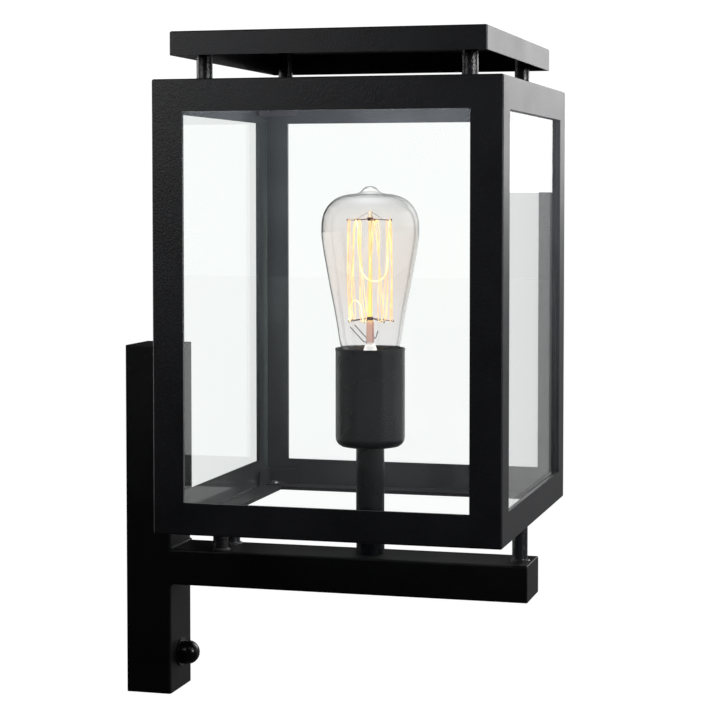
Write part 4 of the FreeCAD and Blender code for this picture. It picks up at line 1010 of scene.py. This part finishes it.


# ---- Glass mount ----
# A flared tube sealed into the neck, pinched round the wires and drawn out to a thin rod. It looks brownish where
# the hot wires pass through it. The faint glow there, the flare's white glow and the rod's yellow glow are
# painted light from the filament.

MOUNT_GLASS_PAINTED_GLOW = glass("mount_glass_painted_glow", (0.93, 0.80, 0.62), (0.05, 0.25), bands=(
    (103, (0.95, 0.95, 0.95), (0.30, 0.30, 0.30)), (119, (0.93, 0.92, 0.91), (0.45, 0.45, 0.44)),
    (121, (0.62, 0.42, 0.38), (0.05, 0.02, 0.015)), (133, (0.70, 0.45, 0.36), (0.10, 0.04, 0.02)),
    (136, (1.0, 0.84, 0.36), (0.34, 0.22, 0.03)), (165, (1.0, 0.88, 0.46), (0.25, 0.15, 0.02)),
    (200, (1.0, 0.92, 0.64), (0.10, 0.06, 0.02)), (208, (1.0, 0.97, 0.9), (0.20, 0.18, 0.15))))

low, high = span("bulb_mount")
flare = drawn([(11.2, low.z + 0.4), (10.6, low.z + 1.6), (8.2, low.z + 4.4), (6.2, low.z + 8.0),
               (4.6, low.z + 11.4), (4.0, low.z + 13.4), (3.2, low.z + 15.4), (2.6, low.z + 17.0)], 3)
stalk_top, rod_r = span("bulb_filament")[0].z - 0.6, 1.25
outline = [(0, low.z + 1.0), (10.9, low.z)] + flare + [(2.5, stalk_top), (rod_r + 0.3, stalk_top + 1.0)]
outline += [(rod_r, stalk_top + 2.0), (rod_r, high.z - 1.6), (rod_r + 0.35, high.z - 0.9),
            (rod_r, high.z - 0.25), (0, high.z)]
bm = bmesh.new()
turned(bm, outline, axis.x, axis.y, steps=40)
lay("flared_glass_mount", bm, MOUNT_GLASS_PAINTED_GLOW, "bulb_mount", body="bulb", crease=60)


# ---- Filament ----
# One long thin wire is strung up and down between two crowns of seven dark wire hooks, melted into the rod.
# Two of the upper hooks carry a short slack loop, and two of the lower ones a low arch. Stiff wires bring the
# current.

def glowing(name, deep, bright, strength):
    """A wire that shines, whose colour drifts along it."""
    material, tree, shader, texture = grained(name, 1.0, 9.0)
    shader.inputs["Base Color"].default_value = (0.30, 0.12, 0.03, 1)
    shader.inputs["Emission Strength"].default_value = strength
    drift = ranged(tree, texture["Patches"], (0.36, 0.60))
    tree.links.new(blended(tree, "RGBA", drift, (*deep, 1), (*bright, 1)), shader.inputs["Emission Color"])
    return material


GLOW = glowing("glowing_filament", (1.0, 0.50, 0.20), (1.0, 0.80, 0.36), 1.35)
GLOW_LOOPS = glowing("glowing_filament_loops", (1.0, 0.74, 0.26), (1.0, 0.90, 0.55), 2.0)
HOOK_WIRE = finish("dark_hook_wire", (0.030, 0.018, 0.014), (0.10, 0.05, 0.035), (0.30, 0.45), metallic=0.7,
                   grain=0.3, depth=0.004, patch=5.0)

low, high = span("bulb_filament")
FILAMENT_R = 0.24
HOOKS = 7
ring_r = (high.y - low.y) / 2
crown_low, crown_high = low.z + 0.3, high.z - 0.3


def out_from_axis(turn, radius, z):
    """A point at this many sevenths of a turn round the bulb."""
    angle = 2 * math.pi * turn / HOOKS
    return Vector((axis.x + radius * math.cos(angle), axis.y + radius * math.sin(angle), z))


def over_hook(turn, z, side, radius, spread=0.09):
    """Three points that take the filament round a hook: up, over and down, or the other way about."""
    return [out_from_axis(turn - spread, radius, z - side * 1.6), out_from_axis(turn, radius, z + side * 0.2),
            out_from_axis(turn + spread, radius, z - side * 1.6)]


def slack(start, end, bow):
    """A point midway along a strand, a little out from the straight."""
    mid = (start + end) / 2
    away = Vector((mid.x - axis.x, mid.y - axis.y, 0))
    return mid + away.normalized() * bow if away.length > 0.1 else mid


dice = random.Random(7)
bm = bmesh.new()
for start, offset, inward in ((0, 0.0, 0.0), (3, 0.17, 1.1)):
    path = []
    for index in range(2 * HOOKS - 1):
        turn, side = start + index / 2, 1 if index % 2 == 0 else -1
        loop = over_hook(turn + offset * side, crown_high if side > 0 else crown_low, side, ring_r - inward)
        if path:
            path.append(slack(path[-1], loop[0], dice.uniform(0.2, 1.6)))
        path += loop
    wire(bm, path, FILAMENT_R)
strung = set(bm.faces)
bottom = crown_low + 26.9
outside = ring_r + 0.5
u_loop = over_hook(3, crown_high, 1, ring_r)
u_loop += [out_from_axis(turn, outside - inward, bottom + rise) for turn, inward, rise in (
    (3.2, 0.8, 14), (3.45, 0.4, 3.6), (3.7, 0, 0.6), (4.0, 0, -0.6), (4.35, 0, 0.6), (4.6, 0.4, 3.6),
    (4.8, 0.8, 14))]
u_loop += over_hook(5, crown_high, 1, ring_r)
wire(bm, u_loop, FILAMENT_R * 1.35)
arch = over_hook(2.5, crown_low, -1, ring_r + 0.3)
arch += [out_from_axis(2.72, outside, crown_low + 11.4), out_from_axis(3.0, outside + 0.2, crown_low + 13.8),
         out_from_axis(3.28, outside, crown_low + 11.4)]
arch += over_hook(3.5, crown_low, -1, ring_r + 0.3)
wire(bm, arch, FILAMENT_R * 1.2)
for face in bm.faces:
    face.material_index = 0 if face in strung else 1
filament = lay("strung_filament", bm, GLOW, "bulb_filament", body="bulb", crease=80)
filament.data.materials.append(GLOW_LOOPS)

HUB_RISE_UPPER, HUB_RISE_LOWER = 0.9, 1.3
HOOK_R = 0.26
bm = bmesh.new()
for hub_z, ring_z, first, side in ((crown_high + HUB_RISE_UPPER, crown_high, 0, 1),
                                   (crown_low + HUB_RISE_LOWER, crown_low, 0.5, -1)):
    turned(bm, [(rod_r, hub_z - 1.1), (rod_r + 0.5, hub_z - 1.1), (rod_r + 0.8, hub_z - 0.6),
                (rod_r + 0.8, hub_z + 0.6), (rod_r + 0.5, hub_z + 1.1), (rod_r, hub_z + 1.1)], axis.x, axis.y,
           closed=True, steps=24)
    for index in range(HOOKS):
        turn = index + first
        hook = [(rod_r + 0.4, hub_z), (ring_r * 0.5, (hub_z + ring_z) / 2), (ring_r - 1.4, ring_z + side * 0.1),
                (ring_r - 0.5, ring_z), (ring_r + 0.2, ring_z + side * 0.75), (ring_r + 0.9, ring_z + side * 0.2),
                (ring_r + 0.5, ring_z - side * 0.6)]
        wire(bm, [out_from_axis(turn, r, z) for r, z in hook], HOOK_R)
        if side > 0 and index % 2 == 0:
            wire(bm, [out_from_axis(turn, rod_r, hub_z + 4.2), out_from_axis(turn, 4.0, hub_z + 3.0),
                      out_from_axis(turn, 8.6, hub_z - 0.3)], HOOK_R / 2)
lay("hook_wire_crowns", bm, HOOK_WIRE, "bulb_support_wires", body="bulb", crease=80)

low, high = span("bulb_leadin_wires")
LEAD_IN_R = 0.3
bm = bmesh.new()
for turn, points in ((2.05, ((1.6, low.z - 4), (2.4, low.z - 2.2), (4.8, low.z - 1.2), (13.1, high.z - 1.5))),
                     (2.05, ((1.6, low.z - 3), (2.3, low.z + 0.6), (3.0, low.z + 1.4), (10.2, high.z - 0.2))),
                     (5.5, ((1.0, low.z + 3.0), (1.9, low.z + 2.4), (3.1, low.z + 0.4), (3.7, low.z + 1.0),
                            (5.1, low.z + 5.6)))):
    wire(bm, [out_from_axis(turn, r, z) for r, z in points], LEAD_IN_R, rounded=False)
lay("lead_in_wires", bm, HOOK_WIRE, "bulb_leadin_wires", body="bulb", crease=80)
